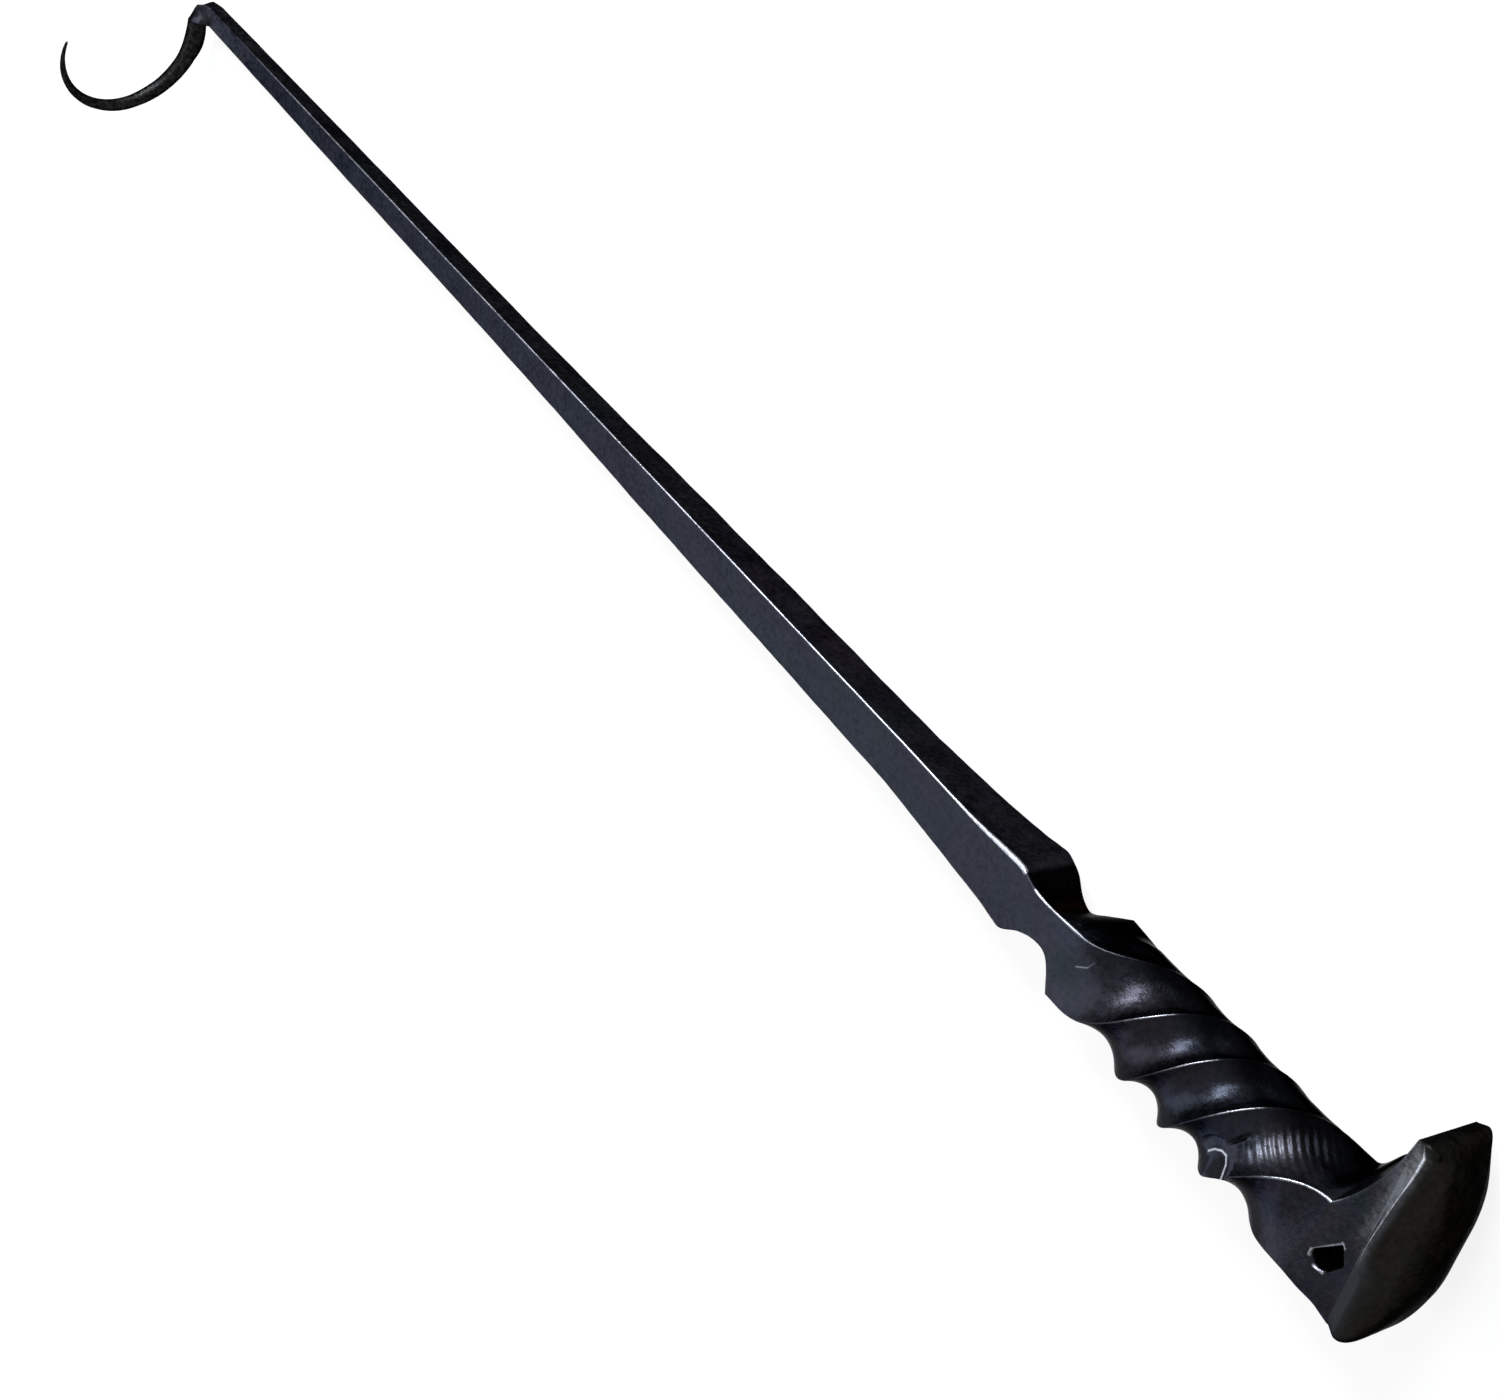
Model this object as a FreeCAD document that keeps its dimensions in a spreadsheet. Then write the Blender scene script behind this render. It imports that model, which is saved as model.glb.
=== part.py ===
"""Hand-forged meat hook: a square bar with a needle-pointed hook, a twisted grip and a mushroomed head.

The real tool is one continuous forging. Each forged station is its own named solid here, and neighbours meet
face to face on a flat section, so nothing overlaps and nothing hangs free.

Frame: the origin is the centre of the hanging hole, +X runs along the bar towards the head, +Y towards the
overhanging lip of the head, and +Z out of the face that carries the hole. Lengths are in millimetres.
"""
import FreeCAD, Part

import os

import Sketcher

# Driving dimensions: alias, value, meaning. "Middle plane" and "middle line" pass through the hanging hole.
DIMENSIONS = [
    ("shaft_length", 352.5, "crest of the shoulder to the elbow"),
    ("shaft_offset", 1.5, "how far the shaft runs off the middle line, sideways"),
    ("tip_side", 4.5, "side of the shaft at the elbow"),
    ("quarter_side", 5.6, "side of the shaft a quarter of the way up"),
    ("half_side", 6.5, "side of the shaft half way up"),
    ("upper_side", 8.4, "side of the shaft three quarters of the way up"),
    ("flare_side", 10.0, "side of the shaft where the shoulder begins to flare"),
    ("shoulder_side", 14.2, "side of the bar at the crest of the shoulder"),
    ("shoulder_length", 39.0, "start of the flare to the crest"),
    ("waist_side", 9.2, "side of the bar at the bottom of the waist"),
    ("waist_length", 9.0, "crest of the shoulder to the bottom of the waist"),
    ("collar_length", 8.0, "bottom of the waist to the start of the twist"),
    ("collar_side", 15.4, "side of the bar where the twist starts"),
    ("collar_offset", 0.7, "how far the bar is off the middle line there, sideways and upwards"),
    ("grip_swell", 1.1, "growth of the bar's side over each half of the twist"),
    ("twist_length", 66.5, "length over which the grip is twisted"),
    ("twist_turn", 360.0, "left-handed turn of the grip, in degrees"),
    ("block_start", 4.7, "end of the twist to the middle of the hanging hole"),
    ("butt_spread", 6.0, "how far the hidden corner has spread under the lip where the twist ends"),
    ("hole_diameter", 5.2, "drilled hanging hole"),
    ("mouth_size", 6.4, "across the worn five-sided mouth of the hole"),
    ("mouth_depth", 1.3, "depth of the worn mouth"),
    ("seat_height", 4.9, "hanging hole to the root of the rim, on the middle line"),
    ("rim_height", 2.2, "height of the hammered rim band"),
    ("dome_height", 6.6, "height of the domed crown above the rim"),
    ("lip_droop", 7.0, "slope of the head back towards the hook, in degrees"),
    ("lip_reach", 30.8, "middle line to the lip's corner beside the face with the hole"),
    ("tip_reach", 30.0, "middle line to the sharp tip of the lip"),
    ("tip_drop", 7.8, "middle plane to the sharp tip of the lip"),
    ("belly_reach", 20.0, "middle line to the end of the flat belly, towards the lip"),
    ("belly_heel", 5.2, "middle line to the other end of the flat belly"),
    ("back_drop", 13.2, "middle plane to the flat belly"),
    ("heel_reach", 11.2, "middle line to the heel of the head"),
    ("heel_drop", 6.6, "middle plane to the lower end of the heel"),
    ("face_rise", 8.9, "middle plane to the rim beside the face with the hole"),
    ("crown_reach", 8.4, "middle line to the top of the crown"),
    ("crown_drop", 2.6, "middle plane to the top of the crown"),
    ("elbow_radius", 2.7, "bend of the bar from the shaft into the neck"),
    ("elbow_side", 5.2, "side of the bar at the corner of the elbow"),
    ("neck_diameter", 5.0, "round neck of the hook where it leaves the elbow"),
    ("neck_rise", 2.9, "middle plane of the shaft to the neck as it leaves the elbow"),
    ("bow_radius", 16.4, "centreline radius of the bow"),
    ("bow_ease", 3.3, "extra radius where the neck eases into the bow"),
    ("point_curl", 1.6, "how far the point curls inside the bow's circle"),
    ("bow_offset", 12.2, "shaft to the centre of the bow, sideways"),
    ("bow_rise", 24.0, "shaft to the centre of the bow, upwards"),
    ("bow_start_diameter", 4.5, "thickness of the bow where the neck joins it"),
    ("bow_diameter", 3.0, "thickness of the bow half way round"),
    ("point_diameter", 0.5, "blunted end of the needle point"),
]

BOW_START = -93.0      # degrees round the bow's centre, from +Y towards +Z, where the neck joins it
BOW_SWEEP = 181.0      # degrees of the bow, from the neck to the point
EASED_SHARE = 0.36     # share of the bow over which the neck eases in
POINT_SHARE = 0.72     # share of the bow where the point begins
CURL_SHARE = 0.6       # share of the bow where it begins to curl in
NECK_BEND = 9.0        # degrees that the neck has turned by its middle
NECK_SQUARE = 0.92     # side of the elbow's last square, beside the round neck's diameter
TWIST_STEPS = 18       # sections along the twist, after the first
RIM_ROOT_SCALE = 0.96  # the rim's root, beside the rim's top
CROWN_SCALE = 0.18     # the flat top of the crown, beside the rim's top

# Shares of a length, each with the share of the change in side reached there.
FLARE_PROFILE = [(0.0, 0.0), (0.5, 0.33), (0.8, 0.74), (1.0, 1.0)]
WAIST_PROFILE = [(0.0, 0.0), (0.35, 0.5), (0.7, 0.88), (1.0, 1.0)]
COLLAR_PROFILE = [(0.0, 0.0), (0.35, 0.12), (0.7, 0.72), (1.0, 1.0)]
BUTT_PROFILE = [(0.0, 0.0), (0.3, 0.13), (0.62, 0.42), (1.0, 1.0)]
DOME_SHARES = [0.3, 0.6, 0.82, 0.95, 1.0]
DOME_POWER = 2.2

doc = FreeCAD.newDocument("meat_hook")
sheet = doc.addObject("Spreadsheet::Sheet", "Size")
for row, (alias, value, meaning) in enumerate(DIMENSIONS, start=1):
    sheet.set(f"A{row}", meaning)
    sheet.set(f"B{row}", str(value))
    sheet.setAlias(f"B{row}", alias)
doc.recompute()


def blend(start, end, share):
    """The expression for a value this share of the way from start to end."""
    if share == 0:
        return f"({start})"
    if share == 1:
        return f"({end})"
    return f"({1 - share} * ({start}) + {share} * ({end}))"


def new_body(label):
    """A body of its own for one forged station, under the name of its file."""
    body = doc.addObject("PartDesign::Body", label)
    body.Label = label
    return body


def origin_plane(body, role):
    """The body's own origin plane with this role, such as YZ_Plane."""
    return next(feature for feature in body.Origin.OriginFeatures if feature.Role == role)


def new_sketch(body, name, role, base, turn=None, axis=(0, 0, 1)):
    """A sketch on one of the body's planes, moved by base (three expressions) and turned about axis.

    The turn is never negative, because a negative angle is stored as a turn about the opposite axis.
    """
    sketch = body.newObject("Sketcher::SketchObject", name)
    sketch.AttachmentSupport = [(origin_plane(body, role), "")]
    sketch.MapMode = "FlatFace"
    start = FreeCAD.Rotation(FreeCAD.Vector(*axis), 1.0)
    sketch.AttachmentOffset = FreeCAD.Placement(FreeCAD.Vector(), start if turn else FreeCAD.Rotation())
    for letter, expression in zip("xyz", base):
        sketch.setExpression(f"AttachmentOffset.Base.{letter}", expression)
    if turn:
        sketch.setExpression("AttachmentOffset.Rotation.Angle", turn)
    return sketch


def constrain(sketch, kind, *where, start, expression):
    """One dimension of the sketch, drawn at its start value and then bound to the expression."""
    number = sketch.addConstraint(Sketcher.Constraint(kind, *where, start))
    sketch.setExpression(f"Constraints[{number}]", expression)


def add_polygon(sketch, corners):
    """A closed polygon whose corners are pairs of expressions, each bound to its own two dimensions."""
    count = len(corners)
    # a rough regular outline first, so that the solver starts from the right order of corners
    axis = FreeCAD.Vector(0, 0, 1)
    rough = [FreeCAD.Rotation(axis, 180.0 + 360.0 * (index + 0.5) / count).multVec(FreeCAD.Vector(8, 0, 0))
             for index in range(count)]
    for index in range(count):
        sketch.addGeometry(Part.LineSegment(rough[index], rough[(index + 1) % count]), False)
    for index in range(count):
        sketch.addConstraint(Sketcher.Constraint("Coincident", index, 2, (index + 1) % count, 1))
    for index, (across, up) in enumerate(corners):
        constrain(sketch, "DistanceX", -1, 1, index, 1, start=rough[index].x, expression=across)
        constrain(sketch, "DistanceY", -1, 1, index, 1, start=rough[index].y, expression=up)


def add_circle(sketch, diameter):
    """A circle about the sketch's own middle."""
    circle = sketch.addGeometry(Part.Circle(FreeCAD.Vector(), FreeCAD.Vector(0, 0, 1), 2.0), False)
    sketch.addConstraint(Sketcher.Constraint("Coincident", circle, 3, -1, 1))
    constrain(sketch, "Diameter", circle, start=4.0, expression=diameter)


def square_section(body, name, base, side, turn=None, axis=(0, 0, 1)):
    """A square of this side across the bar, turned from there about the axis."""
    sketch = new_sketch(body, name, "YZ_Plane", base, turn, axis)
    low, high = f"-({side}) / 2", f"({side}) / 2"
    add_polygon(sketch, [(low, low), (high, low), (high, high), (low, high)])
    return sketch


def round_section(body, name, base, diameter, turn=None):
    """A circle across the hook's centreline, facing +Y and turned from there towards +Z."""
    sketch = new_sketch(body, name, "XZ_Plane", base, turn, axis=(-1, 0, 0))
    add_circle(sketch, diameter)
    return sketch


def loft(body, name, sections, ruled=False):
    """A solid through the sections, in order."""
    feature = body.newObject("PartDesign::AdditiveLoft", name)
    feature.Profile = sections[0]
    feature.Sections = sections[1:]
    feature.Ruled = ruled
    return feature


# Stations along the bar, as expressions of the sheet.
TWIST_END = "-Size.block_start"
TWIST_START = f"({TWIST_END} - Size.twist_length)"
WAIST = f"({TWIST_START} - Size.collar_length)"
CREST = f"({WAIST} - Size.waist_length)"
FLARE = f"({CREST} - Size.shoulder_length)"
ELBOW = f"({CREST} - Size.shaft_length)"
HOOK_PLANE = f"({ELBOW} - Size.elbow_radius)"

# The butt and the head.
BUTT_SIDE = "(Size.collar_side + 2 * Size.grip_swell)"
BUTT_HALF = f"({BUTT_SIDE} / 2)"
RIM_TOP = "(Size.seat_height + Size.rim_height)"

# The head's outline seen along the bar: heel, the two ends of the flat belly, sharp tip, lip and heel again.
RIM_CORNERS = [
    ("-Size.heel_reach", "-Size.heel_drop"),
    ("-Size.belly_heel", "-Size.back_drop"),
    ("Size.belly_reach", "-Size.back_drop"),
    ("Size.tip_reach", "-Size.tip_drop"),
    ("Size.lip_reach", "Size.face_rise"),
    ("-Size.heel_reach", "Size.face_rise"),
]
# The same corners where the twist ends, on the sides of the square bar, one of whose corners has spread.
BUTT_CORNERS = [
    (f"-{BUTT_HALF}", f"-{BUTT_HALF}"),
    ("-Size.belly_heel", f"-{BUTT_HALF}"),
    (BUTT_HALF, f"-{BUTT_HALF}"),
    (f"({BUTT_HALF} + Size.butt_spread)", f"-{BUTT_HALF}"),
    (BUTT_HALF, BUTT_HALF),
    (f"-{BUTT_HALF}", BUTT_HALF),
]
TIP_CORNER = 3
# The worn mouth's five corners, as shares of its size, along the bar and across it.
MOUTH_CORNERS = [(-0.30, -0.42), (0.44, -0.40), (0.50, 0.24), (-0.10, 0.52), (-0.52, 0.10)]

# Start and end offsets of a stretch of the bar, sideways and upwards.
SHAFT_LINE = [("Size.shaft_offset", "Size.shaft_offset"), ("0", "0")]
COLLAR_LINE = [("Size.shaft_offset", "Size.collar_offset"), ("0", "Size.collar_offset")]


def tapered_squares(body, name, start, length, sides, offset, profile):
    """Squares from one side to another over a length, as the profile says, at the start and end offsets."""
    sections = []
    for index, (share, growth) in enumerate(profile):
        across, up = (blend(first, last, growth) for first, last in offset)
        base = (across, up, f"{start} + {share} * {length}")
        sections.append(square_section(body, f"{name}_{index}", base, blend(*sides, growth)))
    return sections


def make_shaft():
    """The long drawn-out taper, from the elbow to where the shoulder begins to flare."""
    body = new_body("shaft")
    sides = ["Size.tip_side", "Size.quarter_side", "Size.half_side", "Size.upper_side", "Size.flare_side"]
    sections = []
    for index, side in enumerate(sides):
        station = blend(ELBOW, FLARE, index / (len(sides) - 1))
        sections.append(square_section(body, f"taper_{index}", ("Size.shaft_offset", "0", station), side))
    loft(body, "taper", sections)
    return body


def make_shoulder():
    """The flare up to the crest, and the steep fall from the crest to the bottom of the waist."""
    body = new_body("shoulder")
    flare_sides = ("Size.flare_side", "Size.shoulder_side")
    loft(body, "flare", tapered_squares(body, "flare", FLARE, "Size.shoulder_length", flare_sides,
                                        SHAFT_LINE, FLARE_PROFILE))
    waist_sides = ("Size.shoulder_side", "Size.waist_side")
    loft(body, "fall", tapered_squares(body, "fall", CREST, "Size.waist_length", waist_sides,
                                       SHAFT_LINE, WAIST_PROFILE))
    return body


def make_twisted_grip():
    """The collar that swells out of the waist, then one left-handed turn that starts and stops gently."""
    body = new_body("twisted_grip")
    collar_sides = ("Size.waist_side", "Size.collar_side")
    loft(body, "collar", tapered_squares(body, "collar", WAIST, "Size.collar_length", collar_sides,
                                         COLLAR_LINE, COLLAR_PROFILE))
    twist = []
    for index in range(TWIST_STEPS):
        share = index / TWIST_STEPS
        turned = share * share * (3 - 2 * share)
        offset = f"{1 - turned} * Size.collar_offset"
        base = (offset, offset, blend(TWIST_START, TWIST_END, share))
        side = f"Size.collar_side + {2 * share} * Size.grip_swell"
        turn = f"{turned} * Size.twist_turn" if index else None
        twist.append(square_section(body, f"twist_{index}", base, side, turn, axis=(0, 0, -1)))
    last = new_sketch(body, "twist_end", "YZ_Plane", ("0", "0", TWIST_END))
    add_polygon(last, [BUTT_CORNERS[0], BUTT_CORNERS[TIP_CORNER], BUTT_CORNERS[4], BUTT_CORNERS[5]])
    loft(body, "twist", twist + [last])
    return body


def head_section(body, name, height, tilt, corners):
    """One six-cornered section of the butt or head, at this height on the middle line, leaning at the lip."""
    sketch = new_sketch(body, name, "YZ_Plane", ("0", "0", height), tilt, axis=(0, 1, 0))
    add_polygon(sketch, corners)
    return sketch


def scaled_rim(scale):
    """The corners of the rim's top, scaled about the top of the crown."""
    middle = ("Size.crown_reach", "-Size.crown_drop")
    return [tuple(blend(centre, place, scale) for centre, place in zip(middle, corner))
            for corner in RIM_CORNERS]


def make_butt_block():
    """The untwisted block with the hanging hole, spreading into the underside of the lip."""
    body = new_body("butt_block")
    root = scaled_rim(RIM_ROOT_SCALE)
    sections = []
    for index, (share, spread) in enumerate(BUTT_PROFILE):
        corners = []
        for number, (start, end) in enumerate(zip(BUTT_CORNERS, root)):
            # the hidden corner has spread already, and runs straight to the tip of the lip
            reached = share if number == TIP_CORNER else spread
            corners.append(tuple(blend(first, last, reached) for first, last in zip(start, end)))
        height = blend(TWIST_END, "Size.seat_height", share)
        tilt = f"{share} * Size.lip_droop" if share else None
        sections.append(head_section(body, f"block_{index}", height, tilt, corners))
    loft(body, "block", sections)
    doc.recompute()
    solid = body.Shape.Volume

    drill = new_sketch(body, "hanging_hole_outline", "XY_Plane", ("0", "0", "2 * Size.back_drop"))
    add_circle(drill, "Size.hole_diameter")
    hole = body.newObject("PartDesign::Pocket", "hanging_hole")
    hole.Profile = drill
    hole.Type = "ThroughAll"
    doc.recompute()
    drilled = body.Shape.Volume

    floor = f"{BUTT_HALF} - Size.mouth_depth"
    outline = new_sketch(body, "mouth_outline", "XY_Plane", ("0", "0", floor))
    add_polygon(outline, [(f"{across} * Size.mouth_size", f"{up} * Size.mouth_size")
                          for across, up in MOUTH_CORNERS])
    mouth = body.newObject("PartDesign::Pocket", "worn_mouth")
    mouth.Profile = outline
    mouth.Type = "Length"
    mouth.setExpression("Length", "Size.back_drop")
    mouth.Reversed = True
    doc.recompute()
    if not body.Shape.Volume < drilled < solid:
        raise RuntimeError("the hanging hole or its mouth cut nothing")
    return body


def make_spike_head():
    """The hammered rim band and the domed crown that leans over towards the lip."""
    body = new_body("spike_head")

    def ring(name, height, scale):
        """The rim's outline at this scale, square to the leaning head."""
        return head_section(body, name, height, "Size.lip_droop", scaled_rim(scale))

    root = ring("rim_root", "Size.seat_height", RIM_ROOT_SCALE)
    loft(body, "rim", [root, ring("rim_top", RIM_TOP, 1)], ruled=True)
    dome = [ring("dome_0", RIM_TOP, 1)]
    for index, share in enumerate(DOME_SHARES, start=1):
        scale = max(CROWN_SCALE, (1 - share ** DOME_POWER) ** 0.5)
        dome.append(ring(f"dome_{index}", f"{RIM_TOP} + {share} * Size.dome_height", round(scale, 4)))
    loft(body, "dome", dome, ruled=True)
    return body


def make_hook_elbow():
    """The sharp bend: the square bar turns sideways out of the shaft and rises into the round neck."""
    body = new_body("hook_elbow")
    sides = ["Size.tip_side", "Size.elbow_side", f"{NECK_SQUARE} * Size.neck_diameter"]
    sections = []
    for index, degrees in enumerate([0.0, 22.5, 45.0, 67.5, 90.0]):
        share = degrees / 90.0
        along = f"{ELBOW} - Size.elbow_radius * sin({degrees} deg)"
        across = f"Size.shaft_offset - Size.elbow_radius * (1 - cos({degrees} deg))"
        up = f"{share * share} * Size.neck_rise"
        if share <= 0.5:
            side = blend(sides[0], sides[1], 2 * share)
        else:
            side = blend(sides[1], sides[2], 2 * share - 1)
        turn = f"{degrees}" if degrees else None
        base = (across, up, along)
        sections.append(square_section(body, f"bend_{index}", base, side, turn, axis=(0, 1, 0)))
    loft(body, "bend", sections, ruled=True)
    return body


def bow_station(share):
    """Where the bow's centreline is at this share of its sweep: its angle, and its two coordinates."""
    degrees = BOW_START - share * BOW_SWEEP
    eased = max(0.0, 1.0 - share / EASED_SHARE) ** 2
    curled = (max(0.0, share - CURL_SHARE) / (1.0 - CURL_SHARE)) ** 2
    radius = f"(Size.bow_radius + {eased} * Size.bow_ease - {curled} * Size.point_curl)"
    across = f"Size.shaft_offset - Size.bow_offset + {radius} * cos({degrees} deg)"
    up = f"Size.bow_rise + {radius} * sin({degrees} deg)"
    return degrees, across, up


def bow_thickness(share):
    """Diameter of the bow at this share of its sweep: neck, then bow, then needle point."""
    if share <= 0.5:
        return blend("Size.bow_start_diameter", "Size.bow_diameter", 2 * share)
    left = (2 * (1 - share)) ** 0.75
    return blend("Size.point_diameter", "Size.bow_diameter", left)


def bow_section(body, name, share):
    """A circle across the bow at this share of its sweep."""
    degrees, across, up = bow_station(share)
    base = (HOOK_PLANE, up, f"-({across})")
    return round_section(body, name, base, bow_thickness(share), f"{-90.0 - degrees}")


def bow_stretch(label, first, last, count):
    """The stretch of the bow between two shares of its sweep, through evenly spaced circles."""
    body = new_body(label)
    sections = [bow_section(body, f"{label}_{index}", first + (last - first) * index / count)
                for index in range(count + 1)]
    loft(body, "stretch", sections)
    return body


def make_hook_neck():
    """The round neck that leaves the elbow and runs down into the bow."""
    body = new_body("hook_neck")
    start = ("Size.shaft_offset - Size.elbow_radius", "Size.neck_rise")
    _, *end = bow_station(0.0)
    across, up = blend(start[0], end[0], 0.5), blend(start[1], end[1], 0.6)
    middle_diameter = blend("Size.neck_diameter", "Size.bow_start_diameter", 0.5)
    sections = [
        round_section(body, "neck_0", (HOOK_PLANE, start[1], f"-({start[0]})"), "Size.neck_diameter"),
        round_section(body, "neck_1", (HOOK_PLANE, up, f"-{across}"), middle_diameter, f"{NECK_BEND}"),
        bow_section(body, "neck_2", 0.0),
    ]
    loft(body, "neck", sections)
    return body


PARTS = [
    bow_stretch("hook_point", POINT_SHARE, 1.0, count=6),
    bow_stretch("hook_bow", 0.0, POINT_SHARE, count=7),
    make_hook_neck(),
    make_hook_elbow(),
    make_shaft(),
    make_shoulder(),
    make_twisted_grip(),
    make_butt_block(),
    make_spike_head(),
]
doc.recompute()

for item in doc.Objects:
    if "Invalid" in item.State or "Error" in item.State:
        raise RuntimeError(f"{item.Name} did not recompute: {item.State}")
for body in PARTS:
    shape = body.Shape
    if shape.isNull() or not shape.isValid() or len(shape.Solids) != 1:
        raise RuntimeError(f"{body.Label} isn't one valid solid")

os.makedirs("parts", exist_ok=True)
for body in PARTS:
    body.Shape.exportStep(f"parts/{body.Label}.step")
    box = body.Shape.BoundBox
    print(f"{body.Label}: {body.Shape.Volume:.0f} mm3, x {box.XMin:.1f} to {box.XMax:.1f}, "
          f"y {box.YMin:.1f} to {box.YMax:.1f}, z {box.ZMin:.1f} to {box.ZMax:.1f}")
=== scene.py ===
"""A hand-forged hook on a twisted square bar, with a domed spike head, in blackened steel.

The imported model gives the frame: every forged length here stands for one of its nodes and follows
the same lengths and offsets, in millimetres along the bar, with the worn arrises, dents, ribs and
scale that the plain solids leave out.  +X runs to the head, +Y to the lip and +Z out of the face
with the hanging hole.
"""
import logging
import math
from dataclasses import dataclass
from enum import Enum
from typing import Any, Callable, Sequence

import bmesh
import bpy
from mathutils import Euler, Matrix, Vector, noise


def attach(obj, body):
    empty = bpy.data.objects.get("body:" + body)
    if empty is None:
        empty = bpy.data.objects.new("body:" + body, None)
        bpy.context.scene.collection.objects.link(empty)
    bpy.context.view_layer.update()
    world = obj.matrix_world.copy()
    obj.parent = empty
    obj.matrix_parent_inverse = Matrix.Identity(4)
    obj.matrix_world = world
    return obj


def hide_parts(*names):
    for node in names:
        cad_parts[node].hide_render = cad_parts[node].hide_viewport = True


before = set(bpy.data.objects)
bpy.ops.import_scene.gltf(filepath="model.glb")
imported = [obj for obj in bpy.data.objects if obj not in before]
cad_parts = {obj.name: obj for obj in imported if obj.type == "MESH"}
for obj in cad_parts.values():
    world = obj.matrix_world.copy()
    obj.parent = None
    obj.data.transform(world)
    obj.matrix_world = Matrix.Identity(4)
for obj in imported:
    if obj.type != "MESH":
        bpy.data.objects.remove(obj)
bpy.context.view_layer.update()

LOG = logging.getLogger("forged_hook")
MM = 0.001
WORN = "worn"
TEMPERING = "tempering"
# Painted shade: the mesh number by this name darkens the steel's colour where shade falls.
PAINTED_SHADE = "painted_shade"
SKIN = "skin"

Colour = tuple[float, float, float]
Place = tuple[float, float, float]
Knots = Sequence[tuple[float, float]]
Span = tuple[float, float, float, float]


# ---------------------------------------------------------------- laws and outlines

def lerp(start: float, end: float, share: float) -> float:
    """The value at this share of the way from start to end."""
    return start + (end - start) * share


def ease(low: float, high: float, value: float) -> float:
    """Nought below low, one above high, and a soft step between them."""
    share = min(1.0, max(0.0, (value - low) / (high - low)))
    return share * share * (3.0 - 2.0 * share)


def within(span: Span, value: float) -> float:
    """One inside the span and nought outside it; its first and last two values bound the soft steps."""
    return ease(span[0], span[1], value) * (1 - ease(span[2], span[3], value))


@dataclass(frozen=True)
class Grade:
    """A level that goes softly from before to after, between the places start and end."""

    start: float
    end: float
    before: float = 0.0
    after: float = 1.0

    def at(self, where: float) -> float:
        """The level at this place."""
        return lerp(self.before, self.after, ease(self.start, self.end, where))


def swell(distance: float, reach: float) -> float:
    """One at no distance, dying away smoothly over the reach."""
    return math.exp(-(distance / reach) ** 2)


def follow(knots: Knots, where: float) -> float:
    """A smooth curve through the knots.

    Args:
        knots: places and values, in rising order of place.
        where: the place asked for.

    Returns:
        The value there, on a cubic through the knots that stays level beyond its ends.
    """
    if where <= knots[0][0]:
        return knots[0][1]
    if where >= knots[-1][0]:
        return knots[-1][1]
    index = next(i for i in range(len(knots) - 1) if where <= knots[i + 1][0])

    def slope(i: int) -> float:
        """The curve's slope at one knot."""
        before, after = max(0, i - 1), min(len(knots) - 1, i + 1)
        return (knots[after][1] - knots[before][1]) / (knots[after][0] - knots[before][0])

    (x0, y0), (x1, y1) = knots[index], knots[index + 1]
    gap = x1 - x0
    t = (where - x0) / gap
    return ((2 * t**3 - 3 * t**2 + 1) * y0 + (t**3 - 2 * t**2 + t) * gap * slope(index)
            + (-2 * t**3 + 3 * t**2) * y1 + (t**3 - t**2) * gap * slope(index + 1))


def square_corners(side: float) -> list[Vector]:
    """The four corners of a square across the bar, as (across, up)."""
    half = side / 2
    return [Vector(c) for c in ((-half, -half), (half, -half), (half, half), (-half, half))]


@dataclass(frozen=True)
class Spot:
    """A place on a ring, in millimetres, and how worn, tempered, darkened by painted shade and scaled over it
    is.
    """

    at: Vector
    worn: float = 0.0
    tempering: float = 0.0
    painted_shade: float = 0.0
    skin: float = 0.0


@dataclass(frozen=True)
class RingPlan:
    """How the points of a ring are shared out between rounded corners and flat sides."""

    corners: int
    arc: int
    flat: int

    @property
    def around(self) -> int:
        """How many points the whole ring has."""
        return self.corners * (self.arc + self.flat)

    def point(self, index: int, corners: Sequence[Vector], rounding: Sequence[float],
              bright: Sequence[float]) -> tuple[Vector, float]:
        """One point of a ring with rounded corners.

        Args:
            index: which point of the ring.
            corners: the outline's sharp corners.
            rounding: how far each corner's rounding reaches along its sides.
            bright: how worn each corner is.

        Returns:
            The point, and how worn it is.
        """
        number, place = divmod(index % self.around, self.arc + self.flat)
        corner, after = corners[number], corners[(number + 1) % self.corners]
        before = corners[number - 1]
        leave = corner + (after - corner).normalized() * rounding[number]
        if place < self.arc:
            share = place / (self.arc - 1)
            enter = corner + (before - corner).normalized() * rounding[number]
            at = enter * (1 - share) ** 2 + corner * 2 * share * (1 - share) + leave * share ** 2
            return at, bright[number] * (4 * share * (1 - share)) ** 0.5
        arrive = after + (corner - after).normalized() * rounding[(number + 1) % self.corners]
        return leave.lerp(arrive, (place - self.arc + 1) / (self.flat + 1)), 0.0


def dented(at: Vector, outward: Vector, depth: float, size: float = 9.0) -> Vector:
    """The place moved in or out by the shallow unevenness that hammer and file leave.

    Args:
        at: the place, in millimetres.
        outward: which way is out of the metal.
        depth: about how far it moves.
        size: how wide the dents are.

    Returns:
        The moved place.
    """
    broad = noise.noise(at / size)
    fine = noise.noise(at / (size * 0.3) + Vector((7.0, 3.0, 11.0)))
    return at + outward.normalized() * depth * (broad + 0.35 * fine - 0.25)


def add_object(name: str, data: Any) -> bpy.types.Object:
    """Puts a new object into the scene.

    Args:
        name: its name.
        data: its mesh, lamp or camera.

    Returns:
        The object.
    """
    made = bpy.data.objects.new(name, data)
    bpy.context.scene.collection.objects.link(made)
    return made


# ---------------------------------------------------------------- shader maths

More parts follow.
